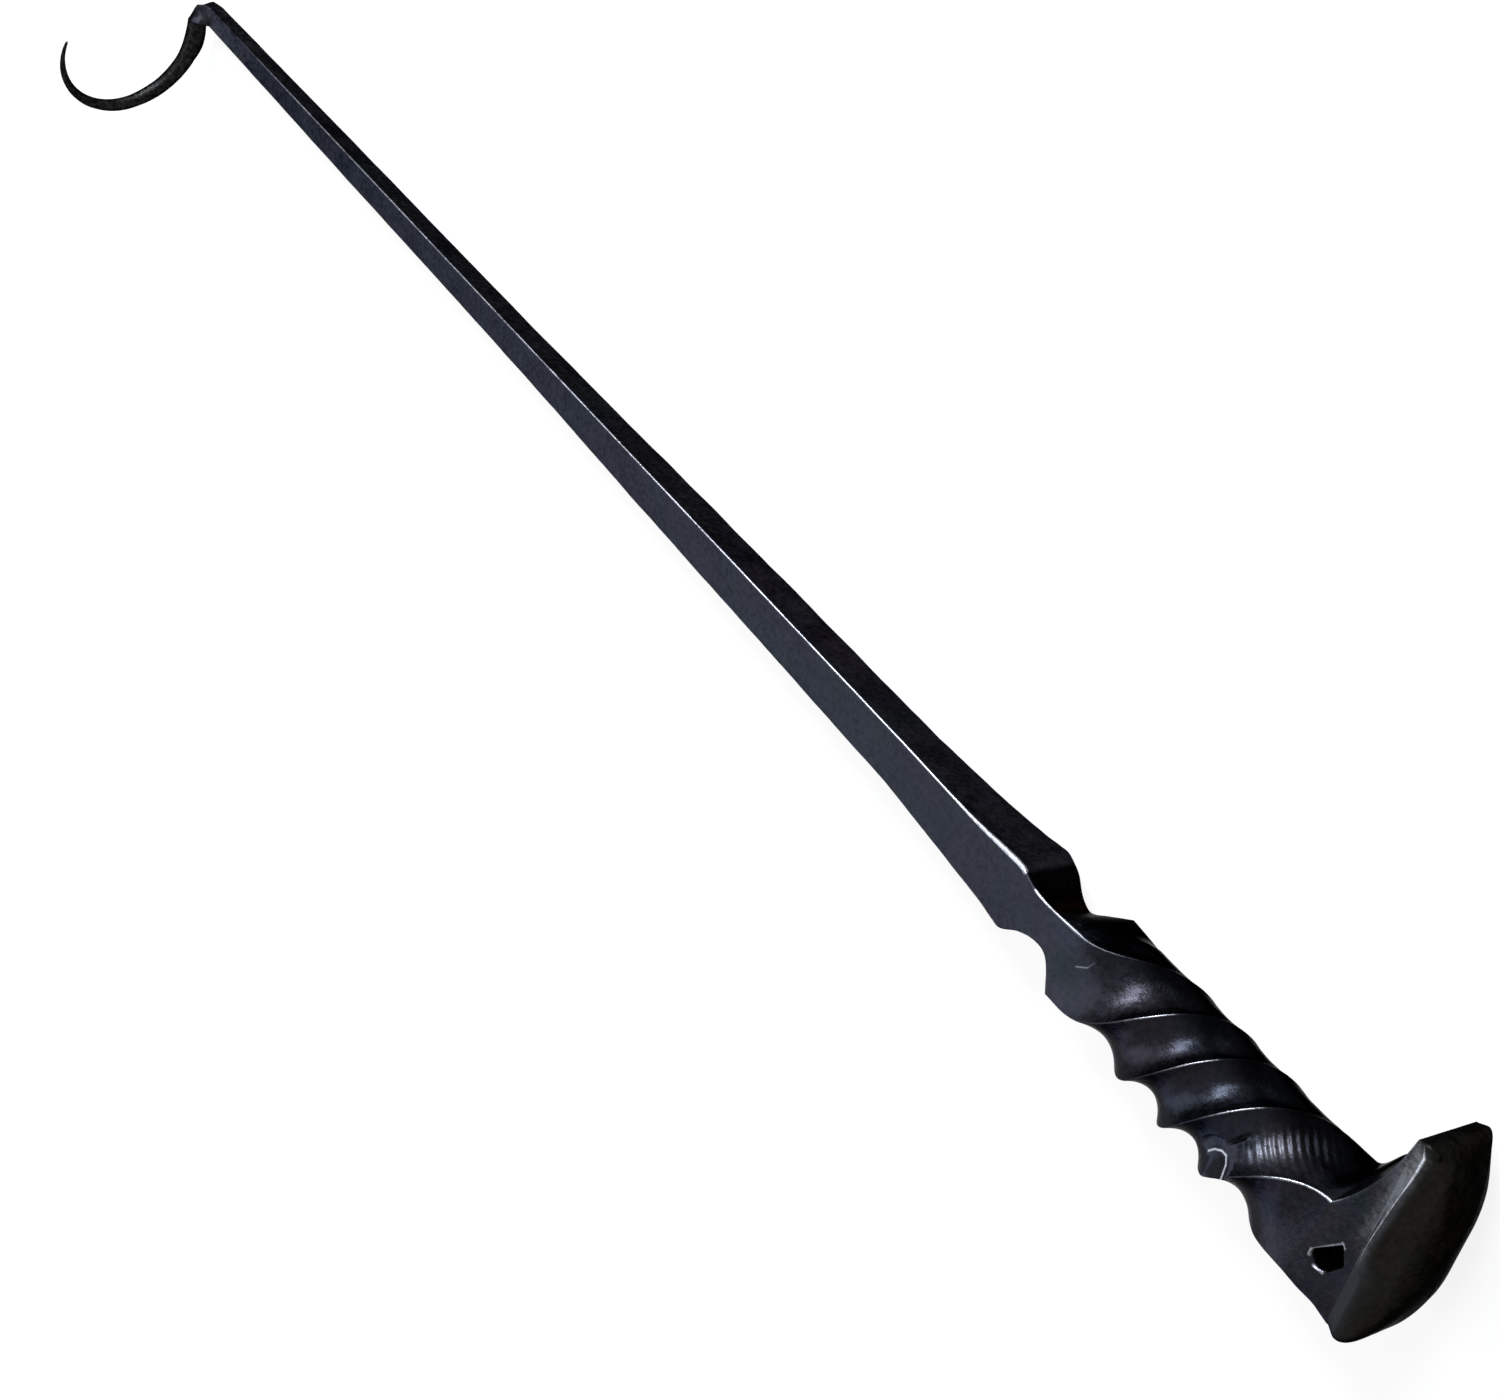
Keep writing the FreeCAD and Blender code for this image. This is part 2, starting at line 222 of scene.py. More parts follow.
class Value:
    """A number that varies over a surface, wrapped so that sums are written as sums."""

    def __init__(self, tree: "Shading", socket: bpy.types.NodeSocket) -> None:
        """Wraps a socket of the tree."""
        self.tree = tree
        self.socket = socket

    def _sum(self, operation: str, first: Any, second: Any) -> "Value":
        """A Math node on two values or numbers."""
        return Value(self.tree, self.tree.node(
            "ShaderNodeMath", {"operation": operation}, {0: first, 1: second}).outputs[0])

    def __add__(self, other: Any) -> "Value":
        """This and the other together."""
        return self._sum("ADD", self, other)

    __radd__ = __add__

    def __mul__(self, other: Any) -> "Value":
        """This times the other."""
        return self._sum("MULTIPLY", self, other)

    __rmul__ = __mul__

    def __sub__(self, other: Any) -> "Value":
        """This less the other."""
        return self._sum("SUBTRACT", self, other)

    def __rsub__(self, other: Any) -> "Value":
        """The other less this."""
        return self._sum("SUBTRACT", other, self)

    def highest(self, other: Any) -> "Value":
        """The greater of this and the other."""
        return self._sum("MAXIMUM", self, other)

    def ramp(self, low: float, high: float) -> "Value":
        """Nought below low, one above high, and a soft step between."""
        return Value(self.tree, self.tree.node(
            "ShaderNodeMapRange", {"interpolation_type": "SMOOTHSTEP"},
            {"Value": self, "From Min": low, "From Max": high}).outputs["Result"])


class Shading:
    """The node tree of a material or of the world, with the few nodes that the finishes are made of."""

    def __init__(self, owner: bpy.types.ID) -> None:
        """Starts the tree empty.

        Args:
            owner: the material or the world that it belongs to.
        """
        owner.use_nodes = True
        self.owner = owner
        self.nodes = owner.node_tree.nodes
        self.links = owner.node_tree.links
        self.nodes.clear()

    def node(self, kind: str, settings: dict[str, Any], inputs: dict[Any, Any]) -> bpy.types.Node:
        """Adds one node.

        Args:
            kind: the node's type.
            settings: properties of the node, which are set first.
            inputs: numbers, colours, values or sockets for its inputs, by name or number.

        Returns:
            The node.
        """
        made = self.nodes.new(kind)
        for key, setting in settings.items():
            setattr(made, key, setting)
        for key, given in inputs.items():
            socket = made.inputs[key]
            if isinstance(given, Value):
                given = given.socket
            if isinstance(given, bpy.types.NodeSocket):
                self.links.new(given, socket)
            elif socket.type == "RGBA":
                socket.default_value = (*given, 1.0)
            else:
                socket.default_value = given
        return made

    def place(self) -> bpy.types.NodeSocket:
        """Where a point is on the object, in metres."""
        return self.node("ShaderNodeTexCoord", {}, {}).outputs["Object"]

    def attribute(self, name: str) -> Value:
        """The named number that the mesh carries."""
        return Value(self, self.node("ShaderNodeAttribute", {"attribute_name": name}, {}).outputs["Fac"])

    def seen(self) -> Value:
        """Tells the light that is seen from the light that falls on things.

        Returns:
            One where the camera sees the surface, directly, mirrored or through glass, and else nought.
        """
        rays = self.node("ShaderNodeLightPath", {}, {}).outputs
        camera, mirror, glass = (Value(self, rays[name]) for name in
                                 ("Is Camera Ray", "Is Glossy Ray", "Is Transmission Ray"))
        return camera.highest(mirror).highest(glass)

    def mottle(self, where: bpy.types.NodeSocket, size: float, detail: float = 3.0,
               shift: float = 0.0, rough: float = 0.55) -> Value:
        """Soft cloudy noise.

        Args:
            where: the coordinates that it follows.
            size: how wide its patches are, in metres.
            detail: how many finer octaves it has.
            shift: moves it, so that two of the same size differ.
            rough: how strong the finer octaves are.

        Returns:
            A value about one half.
        """
        moved = self.node("ShaderNodeVectorMath", {"operation": "ADD"}, {0: where, 1: (shift, shift, shift)})
        return Value(self, self.node(
            "ShaderNodeTexNoise", {}, {"Vector": moved.outputs[0], "Scale": 1.0 / size, "Detail": detail,
                                       "Roughness": rough}).outputs["Fac"])

    def mix(self, share: Any, first: Any, second: Any) -> bpy.types.NodeSocket:
        """A colour between two colours."""
        made = self.node("ShaderNodeMix", {"data_type": "RGBA"}, {0: share, 6: first, 7: second})
        return made.outputs[2]

    def tinted(self, colour: Any, strength: Value) -> bpy.types.NodeSocket:
        """A colour made lighter or darker by a value."""
        made = self.node("ShaderNodeVectorMath", {"operation": "SCALE"}, {0: colour, "Scale": strength})
        return made.outputs[0]

    def stroke(self, where: bpy.types.NodeSocket, start: Vector, end: Vector, width: float) -> Value:
        """A soft-edged mark along a straight line.

        Args:
            where: the coordinates.
            start: one end of the line, in millimetres.
            end: its other end.
            width: how wide the mark is, in millimetres.

        Returns:
            One on the line, falling to nought at the width.
        """
        run = (end - start) * MM
        away = self.node("ShaderNodeVectorMath", {"operation": "SUBTRACT"}, {0: where, 1: start * MM})
        along = Value(self, self.node("ShaderNodeVectorMath", {"operation": "DOT_PRODUCT"},
                                      {0: away.outputs[0], 1: run / run.length_squared}).outputs["Value"])
        held = Value(self, self.node("ShaderNodeClamp", {}, {"Value": along}).outputs[0])
        foot = self.node("ShaderNodeVectorMath", {"operation": "SCALE"}, {0: run, "Scale": held})
        gap = self.node("ShaderNodeVectorMath", {"operation": "DISTANCE"},
                        {0: away.outputs[0], 1: foot.outputs[0]})
        return 1.0 - Value(self, gap.outputs["Value"]).ramp(width * MM * 0.3, width * MM)


@dataclass(frozen=True)
class Mark:
    """A scratch or rubbed speck: where it runs, how wide and how bright."""

    start: Place
    end: Place
    width: float
    strength: float


@dataclass(frozen=True)
class ForgedFinish:
    """Fire-blackened steel: patchy oxide, a fine scale grain, bare metal where it is rubbed, and painted
    shade where the mesh asks for it.
    """

    name: str
    slate: Colour
    violet: Colour
    teal: Colour
    worn: Colour = (0.375, 0.39, 0.44)
    tempered: Colour = (0.016, 0.0085, 0.0045)
    roughness: float = 0.36
    roughness_play: float = 0.16
    polish: float = 0.06
    patch: float = 0.011
    speck_size: float = 0.0011
    grit_size: float = 0.00045
    grain: float = 0.00009
    edge_tint: float = 0.30
    wear_play: float = 0.5
    scaled: float = 0.08
    tone: float = 0.975
    cloudiness: float = 0.55
    speckle: float = 0.9
    darkest: float = 0.2
    cool_share: float = 0.7
    # How far the painted shade darkens the colour.
    painted_shade_depth: float = 0.86
    violet_edge: tuple[float, float] = (0.40, 0.62)
    teal_edge: tuple[float, float] = (0.54, 0.70)
    wear_edge: tuple[float, float] = (0.42, 0.78)
    marks: tuple[Mark, ...] = ()

    def material(self) -> bpy.types.Material:
        """Makes the finish into a material.

        Returns:
            The material, which reads the worn, tempering, painted shade and skin numbers of its mesh; the
            painted shade darkens the oxide.
        """
        shade = Shading(bpy.data.materials.new(self.name))
        where = shade.place()
        patches = shade.mottle(where, self.patch, shift=0.31).ramp(*self.violet_edge)
        cool = shade.mottle(where, self.patch * 0.8, shift=1.7).ramp(*self.teal_edge)
        cloud = shade.mottle(where, self.patch * 0.45, detail=5.0, shift=2.9)
        speck = shade.mottle(where, self.speck_size, detail=2.0, shift=0.9, rough=0.7)
        grit = shade.mottle(where, self.grit_size, detail=2.0, shift=4.2, rough=0.6)

        oxide = shade.mix(patches, self.slate, self.violet)
        oxide = shade.mix(cool * self.cool_share, oxide, self.teal)
        blotch = self.tone + (cloud - 0.5) * self.cloudiness + (speck - 0.5) * self.speckle
        oxide = shade.tinted(oxide, blotch.highest(self.darkest))
        oxide = shade.mix(shade.attribute(TEMPERING) * (0.5 + cloud), oxide, self.tempered)
        # Painted shade: the mesh's painted shade number darkens the oxide.
        oxide = shade.tinted(oxide, 1.0 - shade.attribute(PAINTED_SHADE) * self.painted_shade_depth)

        ragged = (1.0 - self.wear_play) + self.wear_play * (cloud * 0.6 + speck * 0.7).ramp(*self.wear_edge)
        bare = shade.attribute(WORN) * ragged
        for mark in self.marks:
            line = shade.stroke(where, Vector(mark.start), Vector(mark.end), mark.width)
            bare = bare.highest(line * mark.strength * (0.55 + speck * 0.8))
        bare = bare.ramp(0.0, 1.0)

        rough = self.roughness + self.roughness_play * (speck + cloud - 1.0) * 2.0 - bare * self.polish
        height = speck * 0.7 + grit * 0.4
        bump = shade.node("ShaderNodeBump", {}, {"Strength": 1.0, "Distance": self.grain, "Height": height})
        steel = shade.node("ShaderNodeBsdfPrincipled", {}, {
            "Base Color": shade.mix(bare, oxide, self.worn),
            "Roughness": rough,
            "Metallic": 1.0 - shade.attribute(SKIN) * self.scaled,
            "Normal": bump.outputs[0],
            "Specular Tint": (self.edge_tint,) * 3})
        shade.node("ShaderNodeOutputMaterial", {}, {"Surface": steel.outputs[0]})
        return shade.owner


class Finish(Enum):
    """The finishes of the forging, from the point to the head."""

    HOOK = ForgedFinish(
        "hook_oxide", slate=(0.0105, 0.0105, 0.0104), violet=(0.0070, 0.0070, 0.0072),
        teal=(0.0070, 0.0075, 0.0073), roughness=0.40, roughness_play=0.20, patch=0.005, grain=0.00018,
        speckle=4.5, edge_tint=0.05)
    SHAFT = ForgedFinish(
        "shaft_oxide", slate=(0.0144, 0.0162, 0.0205), violet=(0.0156, 0.0152, 0.0205),
        teal=(0.0134, 0.0160, 0.0180), roughness=0.40, patch=0.016, speckle=1.2, cool_share=0.4)
    GRIP = ForgedFinish(
        "grip_oxide", slate=(0.0140, 0.0156, 0.0212), violet=(0.0155, 0.0148, 0.0192),
        teal=(0.0112, 0.0146, 0.0164), roughness=0.33, roughness_play=0.15, patch=0.016, speckle=1.1,
        marks=(
            Mark((-68.3, 2.8, 8.4), (-66.3, 4.3, 8.2), 0.26, 0.26),
            Mark((-66.3, 4.3, 8.2), (-65.6, 6.1, 7.9), 0.22, 0.20),
            Mark((-29.4, 9.8, -1.1), (-29.2, 9.9, -1.3), 0.45, 0.22),
            Mark((-73.6, 7.9, 5.8), (-73.3, 7.9, 5.5), 0.40, 0.2),
            Mark((-28.1, -6.0, 8.0), (-28.1, -3.7, 8.0), 0.36, 0.28),
            Mark((-28.1, -3.7, 8.0), (-27.1, -2.1, 8.3), 0.36, 0.38),
            Mark((-27.1, -2.1, 8.3), (-25.6, -0.9, 8.7), 0.36, 0.42),
            Mark((-25.6, -0.9, 8.7), (-24.3, -0.6, 9.0), 0.36, 0.42),
            Mark((-24.3, -0.6, 9.0), (-23.3, -1.8, 9.3), 0.36, 0.40),
            Mark((-23.3, -1.8, 9.3), (-22.4, -5.2, 9.6), 0.36, 0.40),
        ))
    BLOCK = ForgedFinish(
        "block_oxide", slate=(0.0125, 0.0135, 0.0180), violet=(0.0138, 0.0132, 0.0160),
        teal=(0.0110, 0.0148, 0.0162), roughness=0.36, roughness_play=0.12,
        marks=(
            Mark((-2.7, -0.7, 8.8), (0.9, 4.5, 8.8), 0.38, 0.38),
            Mark((0.9, 4.5, 8.8), (1.6, 4.0, 8.8), 0.55, 0.48),
            Mark((1.6, 4.0, 8.8), (3.4, 1.2, 8.8), 0.30, 0.30),
            Mark((-2.8, -1.0, 8.8), (-2.7, -2.0, 8.8), 0.60, 0.45),
            Mark((-1.0, -3.0, 8.8), (0.8, -2.8, 8.8), 0.55, 0.58),
        ))
    # Olive oxide, a little darker than the rest; part of the darkness is painted shade on the dome.
    HEAD = ForgedFinish(
        "head_oxide_and_painted_shade", slate=(0.0118, 0.0113, 0.0100), violet=(0.0122, 0.0109, 0.0090),
        teal=(0.0108, 0.0118, 0.0106), roughness=0.42, roughness_play=0.10, edge_tint=0.2, speckle=1.1,
        tempered=(0.0150, 0.0160, 0.0178))


class Wardrobe:
    """Makes each finish's material once and hands it out."""

    def __init__(self) -> None:
        """Starts with nothing made."""
        self.made: dict[Finish, bpy.types.Material] = {}

    def get(self, finish: Finish) -> bpy.types.Material:
        """The material of a finish.

        Args:
            finish: which finish.

        Returns:
            Its material, made the first time that it is asked for.
        """
        if finish not in self.made:
            self.made[finish] = finish.value.material()
        return self.made[finish]


# ---------------------------------------------------------------- forging a length

@dataclass
class Forging:
    """One length of the forging: a ring drawn out step by step, then moved to shape."""

    name: str
    slot: str
    finish: Finish
    steps: int
    around: int
    shape: Callable[[float, int], Spot]
    nodes: tuple[str, ...] = ()

    def mesh(self) -> bmesh.types.BMesh:
        """Shapes the length.

        Returns:
            The closed length, in metres, with its wear, tempering, painted shade and skin on its points.
        """
        made = bmesh.new()
        bmesh.ops.create_circle(made, cap_ends=False, segments=self.around, radius=1.0)
        bmesh.ops.spin(made, geom=[*made.verts, *made.edges], cent=(0, 0, 0), axis=(0, 0, 1),
                       dvec=(0, 0, 1), angle=0.0, steps=self.steps, use_duplicate=False)
        layers = {name: made.verts.layers.float.new(name) for name in (WORN, TEMPERING, PAINTED_SHADE, SKIN)}
        for point in made.verts:
            step = round(point.co.z) / self.steps
            index = round(math.atan2(point.co.y, point.co.x) * self.around / math.tau) % self.around
            spot = self.shape(step, index)
            point.co = spot.at * MM
            for name, layer in layers.items():
                point[layer] = getattr(spot, name)
        rims = [edge for edge in made.edges if edge.is_boundary]
        bmesh.ops.holes_fill(made, edges=rims, sides=0)
        bmesh.ops.recalc_face_normals(made, faces=made.faces)
        for face in made.faces:
            face.smooth = True
        for edge in rims:
            edge.smooth = False
        return made

    def build(self, wardrobe: Wardrobe) -> bpy.types.Object:
        """Makes the piece, dresses it and fixes it to the frame.

        Args:
            wardrobe: where the finishes' materials come from.

        Returns:
            The finished object.
        """
        shaped = self.mesh()
        data = bpy.data.meshes.new(self.name)
        shaped.to_mesh(data)
        shaped.free()
        made = add_object(self.name, data)
        data.materials.append(wardrobe.get(self.finish))
        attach(made, "root")
        if self.nodes:
            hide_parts(*self.nodes)
        return made


def report(made: bpy.types.Object) -> None:
    """Logs what a finished piece is."""
    LOG.info("%s: %d points, %d faces", made.name, len(made.data.vertices), len(made.data.polygons))


@dataclass(frozen=True)
class BarSizes:
    """Stations along the bar, from the head's end to the hook, and the sides there."""

    twist_end: float = -4.7
    twist_start: float = -71.2
    waist: float = -79.2
    flare: float = -127.2
    elbow: float = -440.7
    shaft_offset: float = 1.5
    collar_offset: float = 0.7
    taper: Knots = ((0.0, 4.5), (0.25, 5.6), (0.5, 6.5), (0.75, 8.4), (1.0, 10.0))
    collar_side: float = 15.4
    swell: float = 1.1
    dent: float = 0.13


BAR = BarSizes()


@dataclass(frozen=True)
class Saddle:
    """The corners of the bar from the flare over the crest and waist to the twist.

    The upper face runs level over the waist, which is cut in from both sides and from below.
    """

    upper_face: Knots = ((-127.2, 5.0), (-96.0, 6.5), (-88.2, 7.1), (-71.2, 8.4))
    near_arris: Knots = ((-127.2, 6.5), (-105.0, 7.2), (-94.0, 8.2), (-90.0, 8.6), (-88.6, 8.5), (-87.4, 8.1),
                         (-85.0, 7.4), (-80.5, 7.3), (-71.2, 8.4))
    far_arris: Knots = ((-127.2, -3.5), (-97.0, -5.0), (-89.6, -5.7), (-88.4, -5.8), (-87.2, -5.4),
                        (-83.0, -2.2), (-78.0, -0.6), (-74.8, -1.6), (-71.2, -7.0))
    lower_near: Knots = ((-127.2, 6.5), (-105.0, 7.2), (-92.0, 8.4), (-90.5, 8.5), (-89.0, 8.1), (-84.7, 6.7),
                         (-80.0, 4.6), (-78.6, 4.2), (-77.4, 4.6), (-75.0, 6.2), (-71.2, 8.4))
    lower_far: Knots = ((-127.2, -3.5), (-97.0, -5.0), (-88.2, -5.6), (-82.0, -3.6), (-79.2, -3.1),
                        (-75.5, -4.5), (-71.2, -7.0))
    lower_face: Knots = ((-127.2, -5.0), (-97.0, -6.4), (-88.2, -7.1), (-82.0, -4.9), (-79.2, -4.6),
                         (-75.5, -5.2), (-71.2, -7.0))
    below_arris: Grade = Grade(0.15, 0.6)
    beside_middle: Grade = Grade(0.0, 1.5)

    def corners(self, x: float) -> list[Vector]:
        """The bar's section at a station.

        Args:
            x: the station.

        Returns:
            Its four corners, as (across, up).
        """
        low, high = follow(self.lower_face, x), follow(self.upper_face, x)
        return [Vector((follow(self.lower_far, x), low)), Vector((follow(self.lower_near, x), low)),
                Vector((follow(self.near_arris, x), high)), Vector((follow(self.far_arris, x), high))]

    def near_side(self, x: float, at: Vector, middle: float) -> float:
        """How surely a point lies on the side towards the lip, under the near arris.

        Args:
            x: the point's station.
            at: the point.
            middle: where the middle of the section is, across the bar.

        Returns:
            One on that side and nought off it.
        """
        return self.below_arris.at(follow(self.upper_face, x) - at.z) * self.beside_middle.at(at.y - middle)


SADDLE = Saddle()


# ---------------------------------------------------------------- the shaft and its shoulder

@dataclass
class DrawnBar:
    """The straight bar: the long drawn-out taper, and the shoulder that flares to a crest and waist.

    The shaft's grades run by shares of its length or of its side, and the shoulder's by station.
    """

    bar: BarSizes = BAR
    shaft_ring: RingPlan = RingPlan(4, arc=7, flat=9)
    shoulder_ring: RingPlan = RingPlan(4, arc=9, flat=17)
    dull_share: float = 0.2
    full_dent_width: float = 10.0
    shaft_rounding: tuple[float, float] = (0.28, 0.32)
    shaft_wear: Grade = Grade(0.02, 0.2, 0.1, 0.45)
    shaft_wear_gain: Grade = Grade(0.4, 1.0, 0.0, 0.3)
    hook_end_wear: Grade = Grade(0.0, 0.15, 0.12, 0.0)
    shaft_brown: float = 0.14
    brown_across: Grade = Grade(0.3, 0.45)
    brown_up: Grade = Grade(0.4, 0.5, 1.0, 0.0)
    flare_rounding: Grade = Grade(-115.0, -92.0, 0.32, 0.85)
    crest_sharpening: Grade = Grade(-88.0, -85.0, 0.0, 0.43)
    flare_wear: Grade = Grade(-127.0, -105.0, 0.75, 1.0)
    crest_shade: Span = (-88.3, -87.6, -84.8, -83.5)
    waist_brown: Grade = Grade(-84.0, -80.0, 0.14, 1.0)
    # Where the painted shade on the fall past the crest starts and thins.
    painted_shade_start: Grade = Grade(-88.6, -87.2)
    painted_shade_thinning: Grade = Grade(-82.0, -79.2, 1.0, 0.5)

    def section(self, x: float, corners: list[Vector], ring: RingPlan, index: int, rounding: float,
                bright: float) -> Spot:
        """One point of a four-cornered section of the bar.

        Args:
            x: the station.
            corners: the section's corners, as (across, up).
            ring: how its points are shared out.
            index: which point.
            rounding: how far its corners are rounded.
            bright: how worn its near upper arris is.

        Returns:
            The point.
        """
        dull = self.dull_share * bright
        flat, worn = ring.point(index, corners, [rounding] * 4, [dull, dull, bright, dull])
        middle = sum(corners, Vector((0, 0))) / 4
        outward = Vector((0, flat.x - middle.x, flat.y - middle.y))
        width = (corners[1] - corners[0]).length
        depth = self.bar.dent * min(1.0, width / self.full_dent_width)
        return Spot(dented(Vector((x, flat.x, flat.y)), outward, depth), worn)

    def shaft_spot(self, step: float, index: int) -> Spot:
        """One point of the long taper, from the elbow to the flare.

        Args:
            step: the share of the way along it.
            index: which point of the ring.

        Returns:
            The point, brightest along the near arris and a little brown on the side under it.
        """
        bar = self.bar
        side = follow(bar.taper, step)
        corners = [corner + Vector((bar.shaft_offset, 0)) for corner in square_corners(side)]
        spot = self.section(lerp(bar.elbow, bar.flare, step), corners, self.shaft_ring, index,
                            rounding=lerp(*self.shaft_rounding, step),
                            bright=self.shaft_wear.at(step) + self.shaft_wear_gain.at(step))
        near = (self.brown_across.at((spot.at.y - bar.shaft_offset) / side)
                * self.brown_up.at(spot.at.z / side))
        return Spot(spot.at, max(spot.worn, self.hook_end_wear.at(step)), self.shaft_brown * near)

    def shoulder_spot(self, step: float, index: int) -> Spot:
        """One point of the flare, the crest and the fall to the waist.

        Args:
            step: the share of the way along them.
            index: which point of the ring.

        Returns:
            The point, darkened by painted shade past the crest and brown at the waist, on the side towards
            the lip.
        """
        bar = self.bar
        x = lerp(bar.flare, bar.waist, step)
        rounding = self.flare_rounding.at(x) - self.crest_sharpening.at(x)
        bright = self.flare_wear.at(x) * (1 - within(self.crest_shade, x))
        spot = self.section(x, SADDLE.corners(x), self.shoulder_ring, index, rounding, bright)
        near = SADDLE.near_side(x, spot.at, bar.shaft_offset)
        # Painted shade on the fall past the crest, on the side towards the lip.
        painted_shade = near * self.painted_shade_start.at(x) * self.painted_shade_thinning.at(x)
        return Spot(spot.at, spot.worn, near * self.waist_brown.at(x), painted_shade)

    def build(self, wardrobe: Wardrobe) -> None:
        """Makes the shaft and the shoulder.

        Args:
            wardrobe: where the finishes' materials come from.
        """
        report(Forging("drawn_shaft", "shaft_steel", Finish.SHAFT, steps=240, around=self.shaft_ring.around,
                       shape=self.shaft_spot, nodes=("shaft",)).build(wardrobe))
        report(Forging("flared_shoulder", "shaft_steel", Finish.SHAFT, steps=120,
                       around=self.shoulder_ring.around, shape=self.shoulder_spot,
                       nodes=("shoulder",)).build(wardrobe))


# ---------------------------------------------------------------- the twisted grip

@dataclass
class TwistedGrip:
    """The collar that swells out of the waist, and one left-handed turn of the square bar.

    Grades along it run by station.  Angles about the bar are in degrees, where 0 is towards the lip
    and 90 is up.
    """

    bar: BarSizes = BAR
    ring: RingPlan = RingPlan(4, arc=9, flat=47)
    spread: float = 6.0
    spreading: Grade = Grade(0.93, 1.0)
    collar_rounding: Grade = Grade(-79.0, -70.0, 0.42, 0.5)
    end_sharpening: Grade = Grade(-14.0, -6.0, 0.0, 0.12)
    arris_wear: float = 0.75
    collar_dulling: float = 0.75
    collar_shade: Span = (-74.0, -68.0, -64.0, -60.0)
    collar_brown: Grade = Grade(-79.0, -76.5, 1.0, 0.0)
    # Painted shade: the angles about the bar that are darkened, on the side towards the lip and below it.
    painted_shade_angles: Span = (-120.0, -60.0, 8.0, 44.0)
    end_painted_shade: Grade = Grade(-16.0, -6.0, 0.0, 0.2)
    upper_skin: Grade = Grade(84.0, 118.0)
    under_skin: Grade = Grade(-150.0, -178.0)
    fill: float = 0.85
    fill_reach: float = 1.36
    fill_angles: Span = (-115.0, -70.0, -22.0, 16.0)
    fill_length: Span = (-71.0, -62.0, -13.0, -7.0)
    upper_rub: Span = (27.0, 38.0, 52.0, 84.0)
    under_rub: Span = (-150.0, -135.0, -120.0, -95.0)
    least_rub: float = 0.05
    most_rub: float = 0.85
    rib_middle: Place = (-18.6, 5.9, 6.5)
    rib_across: Place = (0.5544, 0.3427, -0.7584)
    rib_gap: float = 1.45
    rib_depth: float = 0.24
    rib_reach: float = 14.0
    row_middle: float = 2.0
    row_sizes: tuple[float, float] = (8.0, 4.6)
    # A polished patch on the ribs that is partly bare metal and partly a painted highlight.
    row_polish_and_highlight: float = 0.2
    polish_highlight_middle: float = -0.5
    polish_highlight_sizes: tuple[float, float] = (4.5, 3.0)
    knock_middle: Place = (-25.0, -3.8, 8.85)
    knock_facing: Place = (-0.287, 0.012, 0.958)
    knock_reach: float = 5.2
    knock_proud: Grade = Grade(0.0, 0.3)
    knock_edge: Grade = Grade(3.0, 3.8, 1.0, 0.0)
    knock_wear: Grade = Grade(0.4, 0.0, 0.0, 0.3)
    knock_painted_shade: float = 0.8
    crease_ends: tuple[Place, Place] = ((-25.6, 0.9, 8.7), (-22.9, 5.7, 7.1))
    crease_depth: float = 0.5
    crease_width: float = 0.4
    crease_reach: float = 3.0
    crease_painted_shade: float = 0.9

    def spot(self, step: float, index: int) -> Spot:
        """One point of the collar and the twist.

        Args:
            step: the share of the way from the waist to the block.
            index: which point of the ring.

        Returns:
            The point.
        """
        bar = self.bar
        x = lerp(bar.waist, bar.twist_end, step)
        share = max(0.0, (x - bar.twist_start) / (bar.twist_end - bar.twist_start))
        turned = ease(bar.twist_start, bar.twist_end, x)
        side = bar.collar_side + 2 * share * bar.swell
        offset = (1 - turned) * bar.collar_offset
        if share > 0:
            corners = square_corners(side)
            corners[1] = corners[1] + Vector((self.spread * self.spreading.at(share) ** 2, 0.0))
        else:
            corners = [corner - Vector((offset, offset)) for corner in SADDLE.corners(x)]
        rounding = self.collar_rounding.at(x) - self.end_sharpening.at(x)
        flat, worn = self.ring.point(index, corners, [rounding] * 4, [self.arris_wear] * 4)
        flat = self.filled(Matrix.Rotation(-turned * math.tau, 2) @ flat, x, side)
        outward = Vector((0, flat.x, flat.y))
        at = dented(Vector((x, offset + flat.x, offset + flat.y)), outward, bar.dent)
        angle = math.degrees(math.atan2(at.z, at.y))
        worn *= self.rubbed(angle) * (1 - self.collar_dulling * within(self.collar_shade, x))
        at, worn, struck = self.knocked(at, worn)
        at, polished_and_highlight = self.ribbed(at, outward)
        at, cut = self.creased(at, outward)
        # Painted shade: darker on the side towards the lip and below it, in the crease, on the knocked facet
        # and towards the block.
        painted_shade = max(within(self.painted_shade_angles, angle), self.knock_painted_shade * struck, self.crease_painted_shade * cut,
                   self.end_painted_shade.at(x))
        tempering = self.collar_brown.at(x) * SADDLE.near_side(x, at, 0.0)
        skin = self.upper_skin.at(angle) + self.under_skin.at(angle)
        return Spot(at, max(worn, self.row_polish_and_highlight * polished_and_highlight), tempering, painted_shade, skin)

    def filled(self, flat: Vector, x: float, side: float) -> Vector:
        """Fills the hollows between the arrises under the lip's side, where the bar was hammered round.

        Args:
            flat: a point of the section, as (across, up).
            x: its station.
            side: the bar's side there.

        Returns:
            The point, drawn out towards a circle where the bar is filled.
        """
        angle = math.degrees(math.atan2(flat.y, flat.x))
        amount = self.fill * within(self.fill_angles, angle) * within(self.fill_length, x)
        return flat.lerp(flat.normalized() * side * 0.5 * self.fill_reach, amount)

    def rubbed(self, angle: float) -> float:
        """How much a hand has rubbed the arris at this angle, half as much under the bar as over it."""
        rub = max(within(self.upper_rub, angle), 0.5 * within(self.under_rub, angle))
        return lerp(self.least_rub, self.most_rub, rub)

